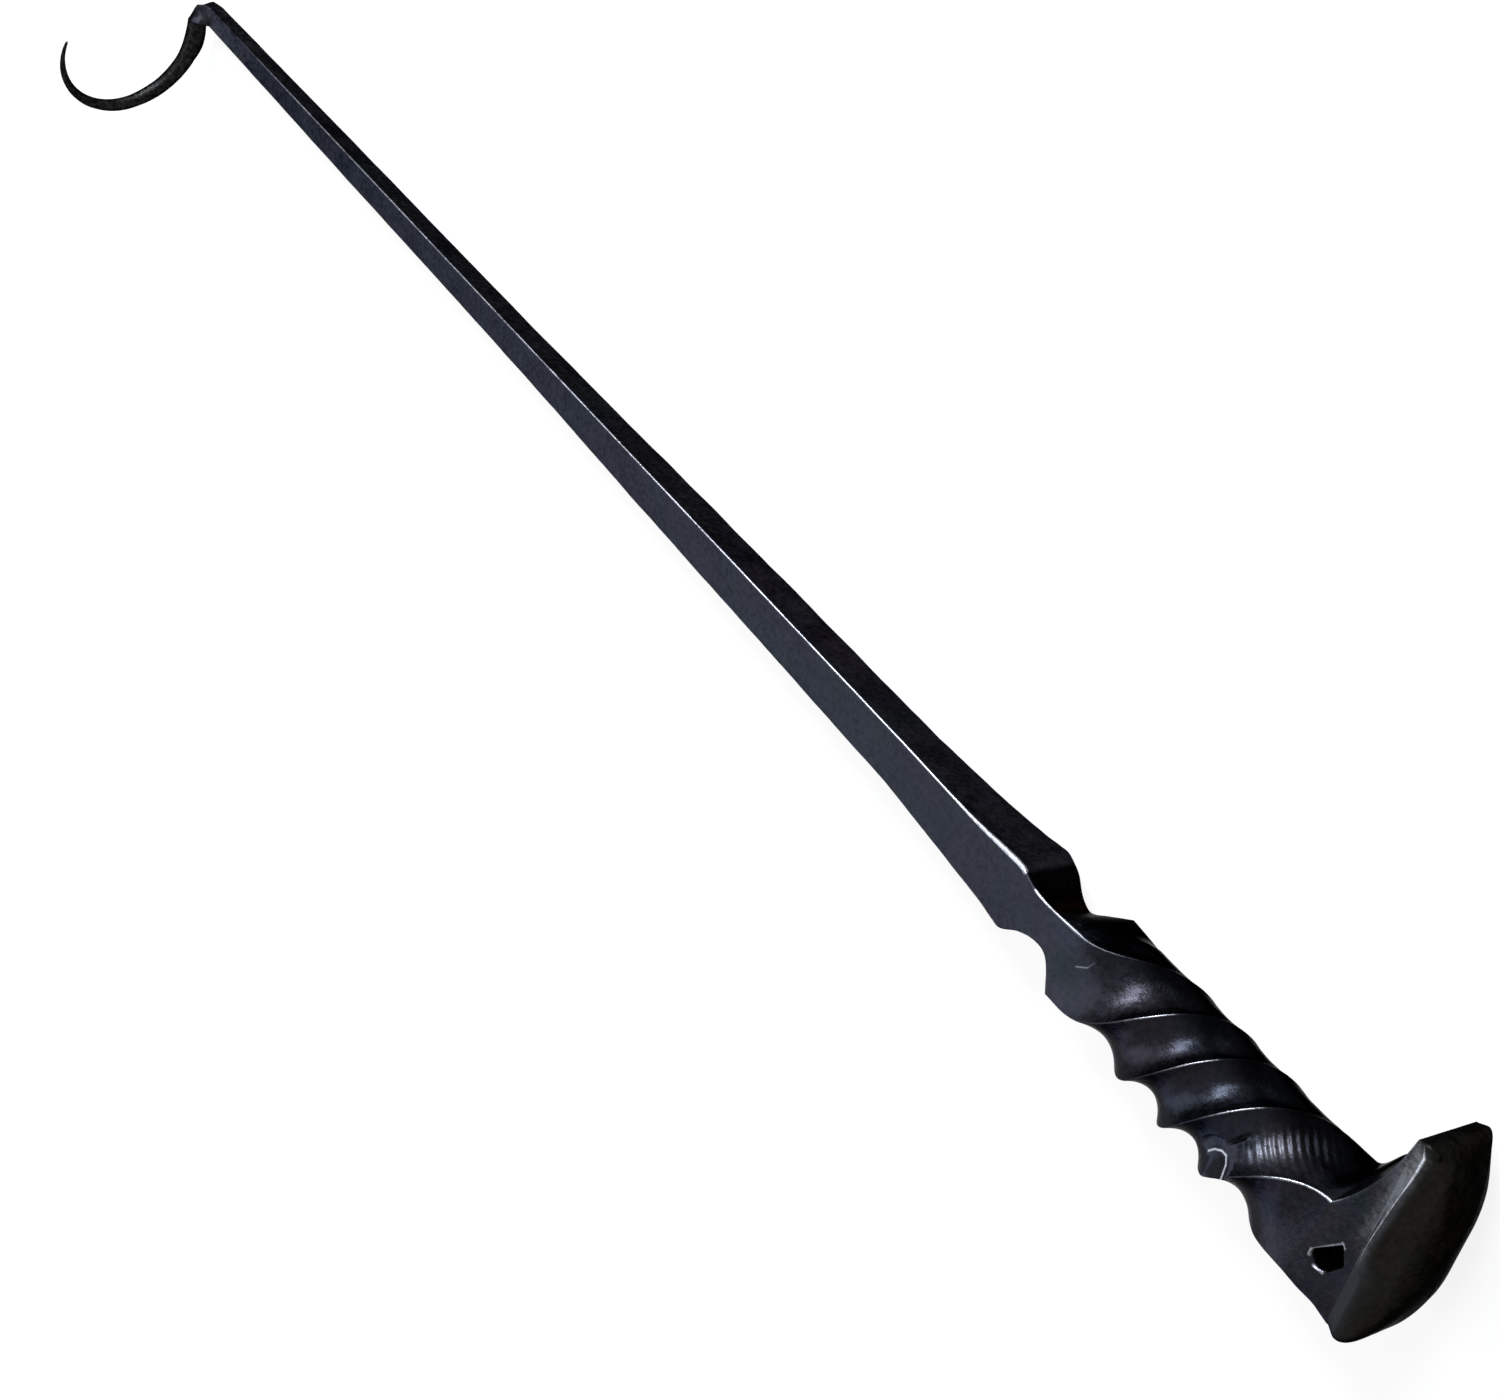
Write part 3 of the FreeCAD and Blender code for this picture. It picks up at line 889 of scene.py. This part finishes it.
    def knocked(self, at: Vector, worn: float) -> tuple[Vector, float, float]:
        """Flattens the last arris where a blow has left a small facet.

        Args:
            at: the point.
            worn: how worn it is.

        Returns:
            The point, how worn it is now, and how much the blow struck it.
        """
        middle, facing = Vector(self.knock_middle), Vector(self.knock_facing).normalized()
        gap = (at - middle).length
        if gap > self.knock_reach:
            return at, worn, 0.0
        proud = (at - middle).dot(facing)
        struck = self.knock_proud.at(proud) * self.knock_edge.at(gap)
        return at - facing * max(0.0, proud), worn * self.knock_wear.at(proud), struck

    def ribbed(self, at: Vector, outward: Vector) -> tuple[Vector, float]:
        """Presses the row of short parallel ribs into the last swell, with a polished patch that also paints
        in their highlight.

        Args:
            at: the point.
            outward: which way is out of the metal.

        Returns:
            The point, and how polished it is, which also brightens the ribs' highlight as a painted
            highlight.
        """
        away = at - Vector(self.rib_middle)
        if away.length > self.rib_reach:
            return at, 0.0
        direction = Vector(self.rib_across)
        over = away.dot(direction)
        along = away - direction * over
        pressed = swell(over - self.row_middle, self.row_sizes[0]) * swell(along.length, self.row_sizes[1])
        wave = math.cos(math.tau * over / self.rib_gap)
        # Polished patch: partly bare metal, and partly a painted highlight where the ribs catch the lamp.
        row, half = self.polish_highlight_sizes
        polished_and_highlight = swell(over - self.polish_highlight_middle, row) * swell(along.length, half)
        return at + outward.normalized() * self.rib_depth * pressed * wave, polished_and_highlight

    def creased(self, at: Vector, outward: Vector) -> tuple[Vector, float]:
        """Cuts the short crease beside the ribs, which painted shade darkens.

        Args:
            at: the point.
            outward: which way is out of the metal.

        Returns:
            The point, and how deep in the crease it is.
        """
        start, end = (Vector(c) for c in self.crease_ends)
        run = end - start
        share = min(1.0, max(0.0, (at - start).dot(run) / run.length_squared))
        away = at - start - run * share
        if away.length > self.crease_reach:
            return at, 0.0
        out = outward.normalized()
        gap = (away - out * away.dot(out)).length
        cut = swell(gap, self.crease_width) * math.sin(math.pi * (0.1 + 0.8 * share))
        return at - out * self.crease_depth * cut, cut

    def build(self, wardrobe: Wardrobe) -> None:
        """Makes the grip.

        Args:
            wardrobe: where the finishes' materials come from.
        """
        report(Forging("twisted_bar", "grip_steel", Finish.GRIP, steps=270, around=self.ring.around,
                       shape=self.spot, nodes=("twisted_grip",)).build(wardrobe))


# ---------------------------------------------------------------- the head

@dataclass(frozen=True)
class HeadSizes:
    """The outline of the head across the bar, and the heights of its rings on the middle line."""

    heel_reach: float = 11.2
    heel_drop: float = 6.6
    belly_heel: float = 5.2
    belly_reach: float = 20.0
    back_drop: float = 13.2
    tip_reach: float = 30.0
    tip_drop: float = 8.7
    lip_reach: float = 30.8
    face_rise: float = 8.9
    middle: tuple[float, float] = (8.4, -2.6)
    root_scale: float = 0.96
    seat: float = 4.9
    rim: float = 7.1
    dome: float = 6.6
    droop: float = 7.0
    tip_corner: int = 3
    lip_corner: int = 4

    def corners(self, scale: float) -> list[Vector]:
        """The outline's corners.

        Args:
            scale: how much of full size the outline is, about the crown.

        Returns:
            The six corners, as (across, up), from the heel under the belly to the tip and the lip.
        """
        middle = Vector(self.middle)
        outline = ((-self.heel_reach, -self.heel_drop), (-self.belly_heel, -self.back_drop),
                   (self.belly_reach, -self.back_drop), (self.tip_reach, -self.tip_drop),
                   (self.lip_reach, self.face_rise), (-self.heel_reach, self.face_rise))
        return [middle + (Vector(corner) - middle) * scale for corner in outline]

    def lean(self, height: float, flat: Vector, share: float = 1.0) -> Vector:
        """A point of a section at this height, tipped back towards the lip by its share of the droop."""
        tilt = math.radians(self.droop * share)
        return Vector((height - flat.x * math.sin(tilt), flat.x * math.cos(tilt), flat.y))


HEAD = HeadSizes()


@dataclass
class HoledBlock:
    """The untwisted block with the hanging hole, spreading into the underside of the lip.

    Its arris, heel and rasp grades run by the share of its length or by place, and the mouth's by depth.
    """

    bar: BarSizes = BAR
    head: HeadSizes = HEAD
    ring: RingPlan = RingPlan(6, arc=7, flat=19)
    profile: Knots = ((0, 0), (0.3, 0.13), (0.62, 0.42), (1, 1))
    arris_profile: Knots = ((0, 0), (0.2, 0.13), (0.47, 0.35), (0.8, 0.68), (1, 1))
    spread: float = 6.0
    corner_wear: tuple[float, ...] = (0.2, 0.0, 0.0, 0.3, 0.0, 0.1)
    arris_wear: Grade = Grade(0.0, 0.35, 0.45, 0.14)
    corner_rounding: tuple[float, ...] = (0.38, 0.3, 0.3, 0.38, 0.38)
    heel_rounding: Grade = Grade(0.25, 0.75, 0.38, 1.8)
    rasp_along: Grade = Grade(0.5, 1.0, 0.0, 0.22)
    rasp_across: Grade = Grade(3.0, 9.0)
    rasp_up: Grade = Grade(2.0, 5.0)
    # Painted shade that darkens the heel's side of the block.
    heel_painted_shade: Grade = Grade(-3.0, -7.5, 0.0, 0.15)
    crisp_angle: float = 42.0
    hole: float = 5.2
    mouth_ring: RingPlan = RingPlan(6, arc=5, flat=5)
    mouth_corners: tuple[tuple[float, float], ...] = (
        (-2.75, -2.2), (-0.7, -3.2), (1.4, -2.4), (3.5, 1.2), (1.2, 4.6), (-2.7, -0.6))
    mouth_rounding: float = 0.45
    mouth_scale: float = 0.86
    mouth_flare: float = 0.22
    flare_depth: float = 0.35
    round_depth: Grade = Grade(0.7, 2.4)
    punch_ends: tuple[float, float] = (-1.2, 26.0)
    punch_crowding: float = 2.2
    face: float = 8.8

    def spot(self, step: float, index: int) -> Spot:
        """One point of the block.

        Args:
            step: the share of the way from the twist to the head.
            index: which point of the ring.

        Returns:
            The point, with a rough rasped patch beside the burr, and painted shade on the heel's side.
        """
        half = self.bar.collar_side / 2 + self.bar.swell
        start = [Vector(c) for c in ((-half, -half), (-self.head.belly_heel, -half), (half, -half),
                                     (half + self.spread, -half), (half, half), (-half, half))]
        reached = [follow(self.profile, step)] * 6
        reached[self.head.tip_corner] = step
        reached[self.head.lip_corner] = follow(self.arris_profile, step)
        corners = [first.lerp(last, share) for first, last, share in
                   zip(start, self.head.corners(self.head.root_scale), reached)]
        bright = list(self.corner_wear)
        bright[self.head.lip_corner] = self.arris_wear.at(step)
        rounding = [*self.corner_rounding, self.heel_rounding.at(step)]
        flat, worn = self.ring.point(index, corners, rounding, bright)
        at = self.head.lean(lerp(self.bar.twist_end, self.head.seat, step), flat, step)
        at = dented(at, Vector((0, at.y, at.z)), self.bar.dent)
        rasped = self.rasp_along.at(step) * self.rasp_across.at(at.y) * self.rasp_up.at(at.z)
        # Painted shade darkens the heel's side of the block.
        return Spot(at, max(worn, rasped), painted_shade=self.heel_painted_shade.at(at.y))

    def mouth_spot(self, step: float, index: int) -> Spot:
        """One point of the punch that opens the hole: angular and flared at the face, round below.

        Args:
            step: the share of the way down the punch, closer together near the face.
            index: which point of the ring.

        Returns:
            The point.
        """
        depth = lerp(*self.punch_ends, step ** self.punch_crowding)
        flare = self.mouth_scale + self.mouth_flare * math.exp(-max(0.0, depth) / self.flare_depth)
        outline = [Vector(c) * flare for c in self.mouth_corners]
        flat, _ = self.mouth_ring.point(index, outline, [self.mouth_rounding] * 6, [0] * 6)
        drilled = flat.lerp(flat.normalized() * self.hole / 2, self.round_depth.at(depth))
        return Spot(Vector((drilled.x, drilled.y, self.face - depth)))

    def build(self, wardrobe: Wardrobe) -> None:
        """Makes the block and punches its hole through it.

        Args:
            wardrobe: where the finishes' materials come from.
        """
        made = Forging("holed_block", "grip_steel", Finish.BLOCK, steps=60, around=self.ring.around,
                       shape=self.spot, nodes=("butt_block",)).build(wardrobe)
        punch = Forging("punch", "grip_steel", Finish.GRIP, steps=40, around=self.mouth_ring.around,
                        shape=self.mouth_spot).build(wardrobe)
        cut = made.modifiers.new("hanging_hole", "BOOLEAN")
        cut.object = punch
        cut.operation = "DIFFERENCE"
        cut.solver = "EXACT"
        graph = bpy.context.evaluated_depsgraph_get()
        data = bpy.data.meshes.new_from_object(made.evaluated_get(graph))
        made.modifiers.clear()
        old, made.data = made.data, data
        bpy.data.meshes.remove(old)
        data.name = made.name
        bpy.data.meshes.remove(punch.data)
        self.crisped(data)
        report(made)

    def crisped(self, data: bpy.types.Mesh) -> None:
        """Marks the edges that turn by more than the crisp angle as sharp.

        Args:
            data: the block's mesh.
        """
        shaped = bmesh.new()
        shaped.from_mesh(data)
        for edge in shaped.edges:
            edge.smooth = edge.smooth and edge.calc_face_angle(0.0) < math.radians(self.crisp_angle)
        shaped.to_mesh(data)
        shaped.free()


@dataclass
class SpikeHead:
    """The rim that flares to a burr over the lip, and the dome that leans over towards its tip.

    Places over the lip are in millimetres across the bar, and heights on the rim are shares of its own.
    """

    bar: BarSizes = BAR
    head: HeadSizes = HEAD
    ring: RingPlan = RingPlan(6, arc=9, flat=23)
    power: float = 2.2
    rim_steps: float = 0.42
    burr_share: float = 0.6
    burr_line: Knots = ((2.0, 5.4), (8.8, 5.45), (12.3, 5.8), (18.7, 6.5), (24.5, 7.3), (30.0, 7.6))
    burr_end: float = 1.6
    burr_start: Grade = Grade(2.0, 12.0)
    burr_wear: Grade = Grade(14.0, 26.0, 0.6, 1.0)
    burr_thickness: Grade = Grade(20.0, 27.0, 0.03, 0.06)
    under_wear: Grade = Grade(0.65, 1.4, 0.22, 0.0)
    band_rise: float = 2.1
    band_slope: float = 0.145
    band_height: Grade = Grade(0.8, 1.5, 1.0, 0.0)
    band_end: Grade = Grade(18.0, 26.0, 1.0, 0.0)
    band_least: float = 0.15
    heel_end: Grade = Grade(-9.0, -3.0, 1.0, 0.0)
    face_edge: Grade = Grade(4.0, 6.6)
    face_scale: float = 0.7
    thin_share: float = 0.35
    thin_reach: float = 6.5
    dent_share: float = 0.8
    lip_length: Span = (1.5, 6.0, 28.5, 30.5)
    corner_rounding: Knots = ((1.8, 1.0), (1.0, 1.0), (1.2, 1.0), (0.45, 0.3), (0.6, 0.8), (2.2, 1.0))
    dome_rounding: float = 5.0
    most_rounding: float = 7.14

    def profile(self, step: float) -> tuple[float, float]:
        """A plain ring of the head.

        Args:
            step: the share of the way from the seat over the rim to the top of the dome.

        Returns:
            The ring's height, and its scale.
        """
        head = self.head
        if step < self.rim_steps:
            share = step / self.rim_steps
            flared = 0.6 * share + 0.4 * ease(0, 1, share)
            return lerp(head.seat, head.rim, share), lerp(head.root_scale, 1.0, flared)
        angle = (step - self.rim_steps) / (1 - self.rim_steps) * math.pi / 2
        scale = max(0.02, math.cos(angle))
        return head.rim + head.dome * (1 - scale ** 2) ** (1 / self.power), scale

    def thinned(self, flat: Vector, height: float) -> float:
        """Brings the dome down towards the rim near its tip, where the edge is thin.

        Args:
            flat: a point of the section, as (across, up).
            height: its height.

        Returns:
            Its new height.
        """
        tip = self.head.corners(1.0)[self.head.tip_corner]
        share = self.thin_share * swell((flat - tip).length, self.thin_reach)
        return lerp(height, min(height, self.head.rim), share)

    def burred(self, flat: Vector, height: float, share: float, lip: float) -> tuple[Vector, float, float]:
        """Draws the rim over the lip out to its burr, and sets the rough band back above it.

        Args:
            flat: a point of the section, as (across, up).
            height: its height.
            share: the share of the way up the rim.
            lip: how surely the point is on the lip.

        Returns:
            The point, its height, and how worn it is.
        """
        head = self.head
        burr = follow(self.burr_line, flat.x)
        past = share - self.burr_share
        if past <= 0:
            reached = share / self.burr_share
            shifted = lerp(head.seat, burr, reached)
            raised = lerp(head.root_scale, 1.0, ease(0, 1.0, reached))
        else:
            shifted = lerp(burr, burr + self.band_rise, past)
            raised = 1.0 - self.band_slope * past
        target = Vector((flat.x, head.corners(raised)[head.lip_corner].y))
        line = self.burr_start.at(flat.x) * self.burr_wear.at(flat.x)
        line *= swell(past, self.burr_thickness.at(flat.x))
        worn = lip * (line + self.under_wear.at(share))
        return flat.lerp(target, lip), lerp(height, shifted, lip), worn

    def spot(self, step: float, index: int) -> Spot:
        """One point of the rim or the dome.

        Args:
            step: the share of the way from the seat to the top of the dome.
            index: which point of the ring.

        Returns:
            The point, bright on the burr and blue-grey on the band above it and at the heel.
        """
        head = self.head
        height, scale = self.profile(step)
        soft = self.dome_rounding * max(0.0, 1 - scale) if step > self.rim_steps else 0.0
        rounding = [min(soft * more + base, self.most_rounding * scale + 0.01)
                    for base, more in self.corner_rounding]
        flat, _ = self.ring.point(index, head.corners(scale), rounding, [0] * 6)
        height = self.thinned(flat, height)
        face = self.face_edge.at(flat.y) if scale > self.face_scale else 0.0
        lip = face * within(self.lip_length, flat.x)
        worn = 0.0
        share = step / self.rim_steps
        if lip > 0 and share < self.burr_end:
            flat, height, worn = self.burred(flat, height, share, lip)
        along = max(face * self.band_end.at(flat.x), self.band_least, self.heel_end.at(flat.x))
        band = self.band_height.at(share) * along
        at = head.lean(height, flat)
        at = dented(at, at - Vector((0.0, *head.middle)), self.bar.dent * self.dent_share)
        return Spot(at, min(1.0, worn), band)

    def build(self, wardrobe: Wardrobe) -> None:
        """Makes the head.

        Args:
            wardrobe: where the finishes' materials come from.
        """
        report(Forging("spike_head_forged", "head_steel", Finish.HEAD, steps=120, around=self.ring.around,
                       shape=self.spot, nodes=("spike_head",)).build(wardrobe))


# ---------------------------------------------------------------- the hook

@dataclass
class Hook:
    """The elbow, the round neck, the bow and the needle point."""

    bar: BarSizes = BAR
    elbow_radius: float = 2.7
    elbow_sides: tuple[float, float, float] = (4.5, 5.4, 4.9)
    elbow_round: Grade = Grade(0.45, 1.0)
    elbow_mitre: float = 0.7
    mitre_under: Grade = Grade(0.6, -0.9)
    mitre_end: Grade = Grade(0.75, 1.0, 1.0, 0.0)
    mitre_least: float = 0.25
    elbow_wear: float = 0.07
    # Painted shade that darkens the elbow towards the neck and dims its highlight.
    elbow_painted_shade: Grade = Grade(0.25, 0.85, 0.0, 0.85)
    rise_power: float = 1.4
    neck_rise: float = 3.7
    neck_sag: float = 0.5
    neck_bulge: float = 0.6
    neck_sway: Place = (0.3, 0.0, -0.2)
    bow_centre: tuple[float, float] = (-10.7, 24.0)
    bow_radius: float = 16.4
    bow_ease: float = 3.3
    eased_share: float = 0.36
    curl: float = 1.6
    curl_share: float = 0.6
    bow_start: float = -93.0
    bow_sweep: float = 181.0
    diameters: tuple[float, float, float] = (4.5, 3.0, 0.5)
    point_share: float = 0.72
    point_taper: float = 0.75
    point_closing: Grade = Grade(0.985, 1.0, 1.0, 0.0)
    least_closing: float = 0.02
    glance: float = 0.004
    ring: RingPlan = RingPlan(4, arc=7, flat=5)
    rounding: float = 0.32
    arris_wear: float = 0.35
    dent: float = 0.06
    dent_size: float = 4.0

    @property
    def plane(self) -> float:
        """The station of the plane that the bow lies in."""
        return self.bar.elbow - self.elbow_radius

    def around_bar(self, centre: Vector, side: Vector, up: Vector, width: float, roundness: float,
                   index: int) -> Spot:
        """One point of a section that is square at no roundness and a circle at one.

        Args:
            centre: the middle of the section.
            side: the direction across it.
            up: the direction up it.
            width: its side or diameter.
            roundness: how round it is.
            index: which point.

        Returns:
            The point.
        """
        flat, worn = self.ring.point(index, square_corners(width), [self.rounding] * 4, [self.arris_wear] * 4)
        flat = flat.lerp(flat.normalized() * width / 2, roundness)
        outward = side * flat.x + up * flat.y
        at = dented(centre + outward, outward, self.dent, self.dent_size)
        return Spot(at, worn * (1 - roundness))

    def elbow_spot(self, step: float, index: int) -> Spot:
        """One point of the bend out of the shaft.

        Args:
            step: the share of the way round the bend.
            index: which point of the ring.

        Returns:
            The point, which on the outside of the bend is driven up into a corner, and is darkened by painted
            shade towards the neck.
        """
        angle = step * math.pi / 2
        centre = Vector((self.bar.elbow - self.elbow_radius * math.sin(angle),
                         self.bar.shaft_offset - self.elbow_radius * (1 - math.cos(angle)),
                         self.neck_rise * step ** self.rise_power))
        first, middle, last = self.elbow_sides
        width = lerp(first, middle, 2 * step) if step < 0.5 else lerp(middle, last, 2 * step - 1)
        side = Vector((math.sin(angle), -math.cos(angle), 0.0))
        spot = self.around_bar(centre, side, Vector((0, 0, 1)), width, self.elbow_round.at(step), index)
        outer = max(0.0, -(spot.at - centre).dot(side)) / (width / 2)
        reach = self.elbow_radius + width / 2
        mitre = reach / max(math.cos(angle), math.sin(angle)) - reach
        under = self.mitre_under.at((spot.at.z - centre.z) / (width / 2)) * self.mitre_end.at(step)
        pushed = self.elbow_mitre * mitre * min(1.0, outer) * lerp(self.mitre_least, 1.0, under)
        # Painted shade darkens the elbow towards the neck.
        return Spot(spot.at - side * pushed, self.elbow_wear * (1 - step), painted_shade=self.elbow_painted_shade.at(step))

    def bow_place(self, share: float) -> Vector:
        """The bow's centreline.

        Args:
            share: the share of its sweep.

        Returns:
            The point there: wider where it leaves the neck, and curled in towards the point.
        """
        angle = math.radians(self.bow_start - share * self.bow_sweep)
        eased = max(0.0, 1 - share / self.eased_share) ** 2
        curled = (max(0.0, share - self.curl_share) / (1 - self.curl_share)) ** 2
        radius = self.bow_radius + eased * self.bow_ease - curled * self.curl
        across, up = self.bow_centre
        return Vector((self.plane, across + radius * math.cos(angle), up + radius * math.sin(angle)))

    def bow_width(self, share: float) -> float:
        """The bow's thickness.

        Args:
            share: the share of its sweep.

        Returns:
            The diameter there.
        """
        thick, thin, point = self.diameters
        if share <= 0.5:
            return lerp(thick, thin, 2 * share)
        return lerp(point, thin, (2 * (1 - share)) ** self.point_taper)

    def bow_spot(self, share: float, index: int) -> Spot:
        """One point of the bow.

        Args:
            share: the share of its sweep.
            index: which point of the ring.

        Returns:
            The point.
        """
        ahead = self.bow_place(min(1.0, share + self.glance))
        behind = self.bow_place(max(0.0, share - self.glance))
        side = Vector((1, 0, 0))
        width = self.bow_width(share) * math.sqrt(max(self.least_closing, self.point_closing.at(share)))
        up = (ahead - behind).normalized().cross(side)
        return self.around_bar(self.bow_place(share), side, up, width, 1.0, index)

    def neck_spot(self, step: float, index: int) -> Spot:
        """One point of the neck, from the elbow to the start of the bow.

        Args:
            step: the share of the way along it.
            index: which point of the ring.

        Returns:
            The point.
        """
        start = Vector((self.plane, self.bar.shaft_offset - self.elbow_radius, self.neck_rise))
        end = self.bow_place(0.0)
        middle = Vector((self.plane, (start.y + end.y) / 2, min(start.z, end.z) - self.neck_sag))
        centre = start * (1 - step) ** 2 + middle * 2 * step * (1 - step) + end * step ** 2
        tangent = ((middle - start) * 2 * (1 - step) + (end - middle) * 2 * step).normalized()
        side = Vector((1, 0, 0))
        bulge = math.sin(math.pi * step)
        centre += Vector(self.neck_sway) * bulge
        width = lerp(self.elbow_sides[2], self.diameters[0], step) + self.neck_bulge * bulge
        return self.around_bar(centre, side, tangent.cross(side), width, 1.0, index)

    def build(self, wardrobe: Wardrobe) -> None:
        """Makes the four lengths of the hook.

        Args:
            wardrobe: where the finishes' materials come from.
        """
        split = self.point_share
        lengths = (
            ("bent_elbow", Finish.SHAFT, 36, self.elbow_spot, "hook_elbow"),
            ("round_neck", Finish.HOOK, 40, self.neck_spot, "hook_neck"),
            ("hook_bow_forged", Finish.HOOK, 130,
             lambda step, index: self.bow_spot(step * split, index), "hook_bow"),
            ("needle_point", Finish.HOOK, 70,
             lambda step, index: self.bow_spot(lerp(split, 1.0, step), index), "hook_point"),
        )
        for name, finish, steps, shape, node in lengths:
            report(Forging(name, "hook_steel", finish, steps, self.ring.around, shape,
                           (node,)).build(wardrobe))


# ---------------------------------------------------------------- the studio

@dataclass(frozen=True)
class Lamp:
    """A rectangular soft lamp that faces the object; lengths are in metres.

    The radiance says how bright its face is, where one is white, and it may be slid aside along its width.
    """

    name: str
    toward: Place
    distance: float
    size: tuple[float, float]
    radiance: float
    target: Place
    aside: float = 0.0
    colour: Colour = (0.92, 0.96, 1.0)

    def build(self) -> None:
        """Hangs the lamp."""
        data = bpy.data.lights.new(self.name, "AREA")
        data.shape = "RECTANGLE"
        data.size, data.size_y = self.size
        data.color = self.colour
        data.energy = self.radiance * math.pi * self.size[0] * self.size[1]
        made = add_object(self.name, data)
        toward = Vector(self.toward)
        made.rotation_mode = "QUATERNION"
        made.rotation_quaternion = toward.to_track_quat("Z", "Y")
        made.location = (Vector(self.target) + toward.normalized() * self.distance
                         + made.rotation_quaternion @ Vector((self.aside, 0.0, 0.0)))


@dataclass
class Studio:
    """The camera, the pale floor that the hook lies on, the white surround and the soft lamps."""

    camera_at: Place = (0.1225, 0.2564, 0.3399)
    right: Place = (0.5544, 0.3427, -0.7584)
    up: Place = (-0.6166, 0.7812, -0.0977)
    back: Place = (0.5590, 0.5218, 0.6444)
    lens: float = 60.24
    surround_light: float = 0.4
    floor_half: float = 3.0
    floor_shine: float = 0.86
    floor_gap: float = 0.2
    elbow_drop: float = 2.3
    elbow_run: float = 445.0
    lamps: tuple[Lamp, ...] = (
        Lamp("broad_soft", (-0.55, -0.50, 0.67), 1.3, (1.25, 1.3), 2.7, (-0.15, 0.0, 0.0), aside=-0.28),
        Lamp("key", (-0.15, 0.74, 0.66), 1.1, (0.36, 0.26), 42.0, (-0.04, 0.0, 0.0)),
        Lamp("side_key", (-0.57, 0.68, 0.46), 1.1, (0.30, 0.26), 60.0, (-0.03, 0.0, 0.0)),
        Lamp("low_fill", (-0.33, -0.92, 0.24), 1.4, (1.5, 0.7), 3.6, (-0.05, 0.0, 0.0)))

    def camera(self) -> None:
        """Sets the camera."""
        data = bpy.data.cameras.new("camera")
        data.lens = self.lens
        data.sensor_width = 36.0
        data.clip_start = 0.01
        data.clip_end = 20.0
        made = add_object("camera", data)
        turned = Matrix((self.right, self.up, self.back)).transposed().to_4x4()
        made.matrix_world = Matrix.Translation(self.camera_at) @ turned
        bpy.context.scene.camera = made

    def surround(self) -> None:
        """Makes a world that is white where it is seen or mirrored, and gives a plain soft light."""
        world = bpy.data.worlds.new("surround")
        shade = Shading(world)
        level = self.surround_light + shade.seen() * (1.0 - self.surround_light)
        white = shade.node("ShaderNodeBackground", {}, {"Color": (1, 1, 1), "Strength": level})
        shade.node("ShaderNodeOutputWorld", {}, {"Surface": white.outputs[0]})
        bpy.context.scene.world = world

    def floor(self) -> None:
        """Lays the floor, which slopes so that it touches the head's belly and the elbow."""
        slope = math.atan2(HEAD.back_drop - self.elbow_drop, self.elbow_run)
        shaped = bmesh.new()
        bmesh.ops.create_grid(shaped, x_segments=1, y_segments=1, size=self.floor_half)
        bmesh.ops.rotate(shaped, verts=shaped.verts, cent=(0, 0, 0),
                         matrix=Euler((0.0, slope, 0.0)).to_matrix())
        bmesh.ops.translate(shaped, verts=shaped.verts,
                            vec=Vector((0.0, 0.0, -HEAD.back_drop - self.floor_gap)) * MM)
        data = bpy.data.meshes.new("floor")
        shaped.to_mesh(data)
        shaped.free()
        made = add_object("floor", data)
        shade = Shading(bpy.data.materials.new("pale_floor"))
        plain = shade.node("ShaderNodeBsdfDiffuse", {}, {"Color": (0.8, 0.8, 0.8)})
        glow = shade.node("ShaderNodeEmission", {}, {"Color": (1, 1, 1), "Strength": 1.0})
        mixed = shade.node("ShaderNodeMixShader", {}, {0: shade.seen() * self.floor_shine,
                                                       1: plain.outputs[0], 2: glow.outputs[0]})
        shade.node("ShaderNodeOutputMaterial", {}, {"Surface": mixed.outputs[0]})
        data.materials.append(shade.owner)

    def build(self) -> None:
        """Sets up the whole studio."""
        self.camera()
        self.surround()
        self.floor()
        for lamp in self.lamps:
            lamp.build()
        bpy.context.scene.view_settings.view_transform = "Standard"


def main() -> None:
    """Builds the forging from the hook to the head, then the studio."""
    logging.basicConfig(level=logging.INFO, format="%(name)s: %(message)s")
    wardrobe = Wardrobe()
    for part in (Hook(), DrawnBar(), TwistedGrip(), HoledBlock(), SpikeHead()):
        part.build(wardrobe)
    Studio().build()


if __name__ == "__main__":
    main()
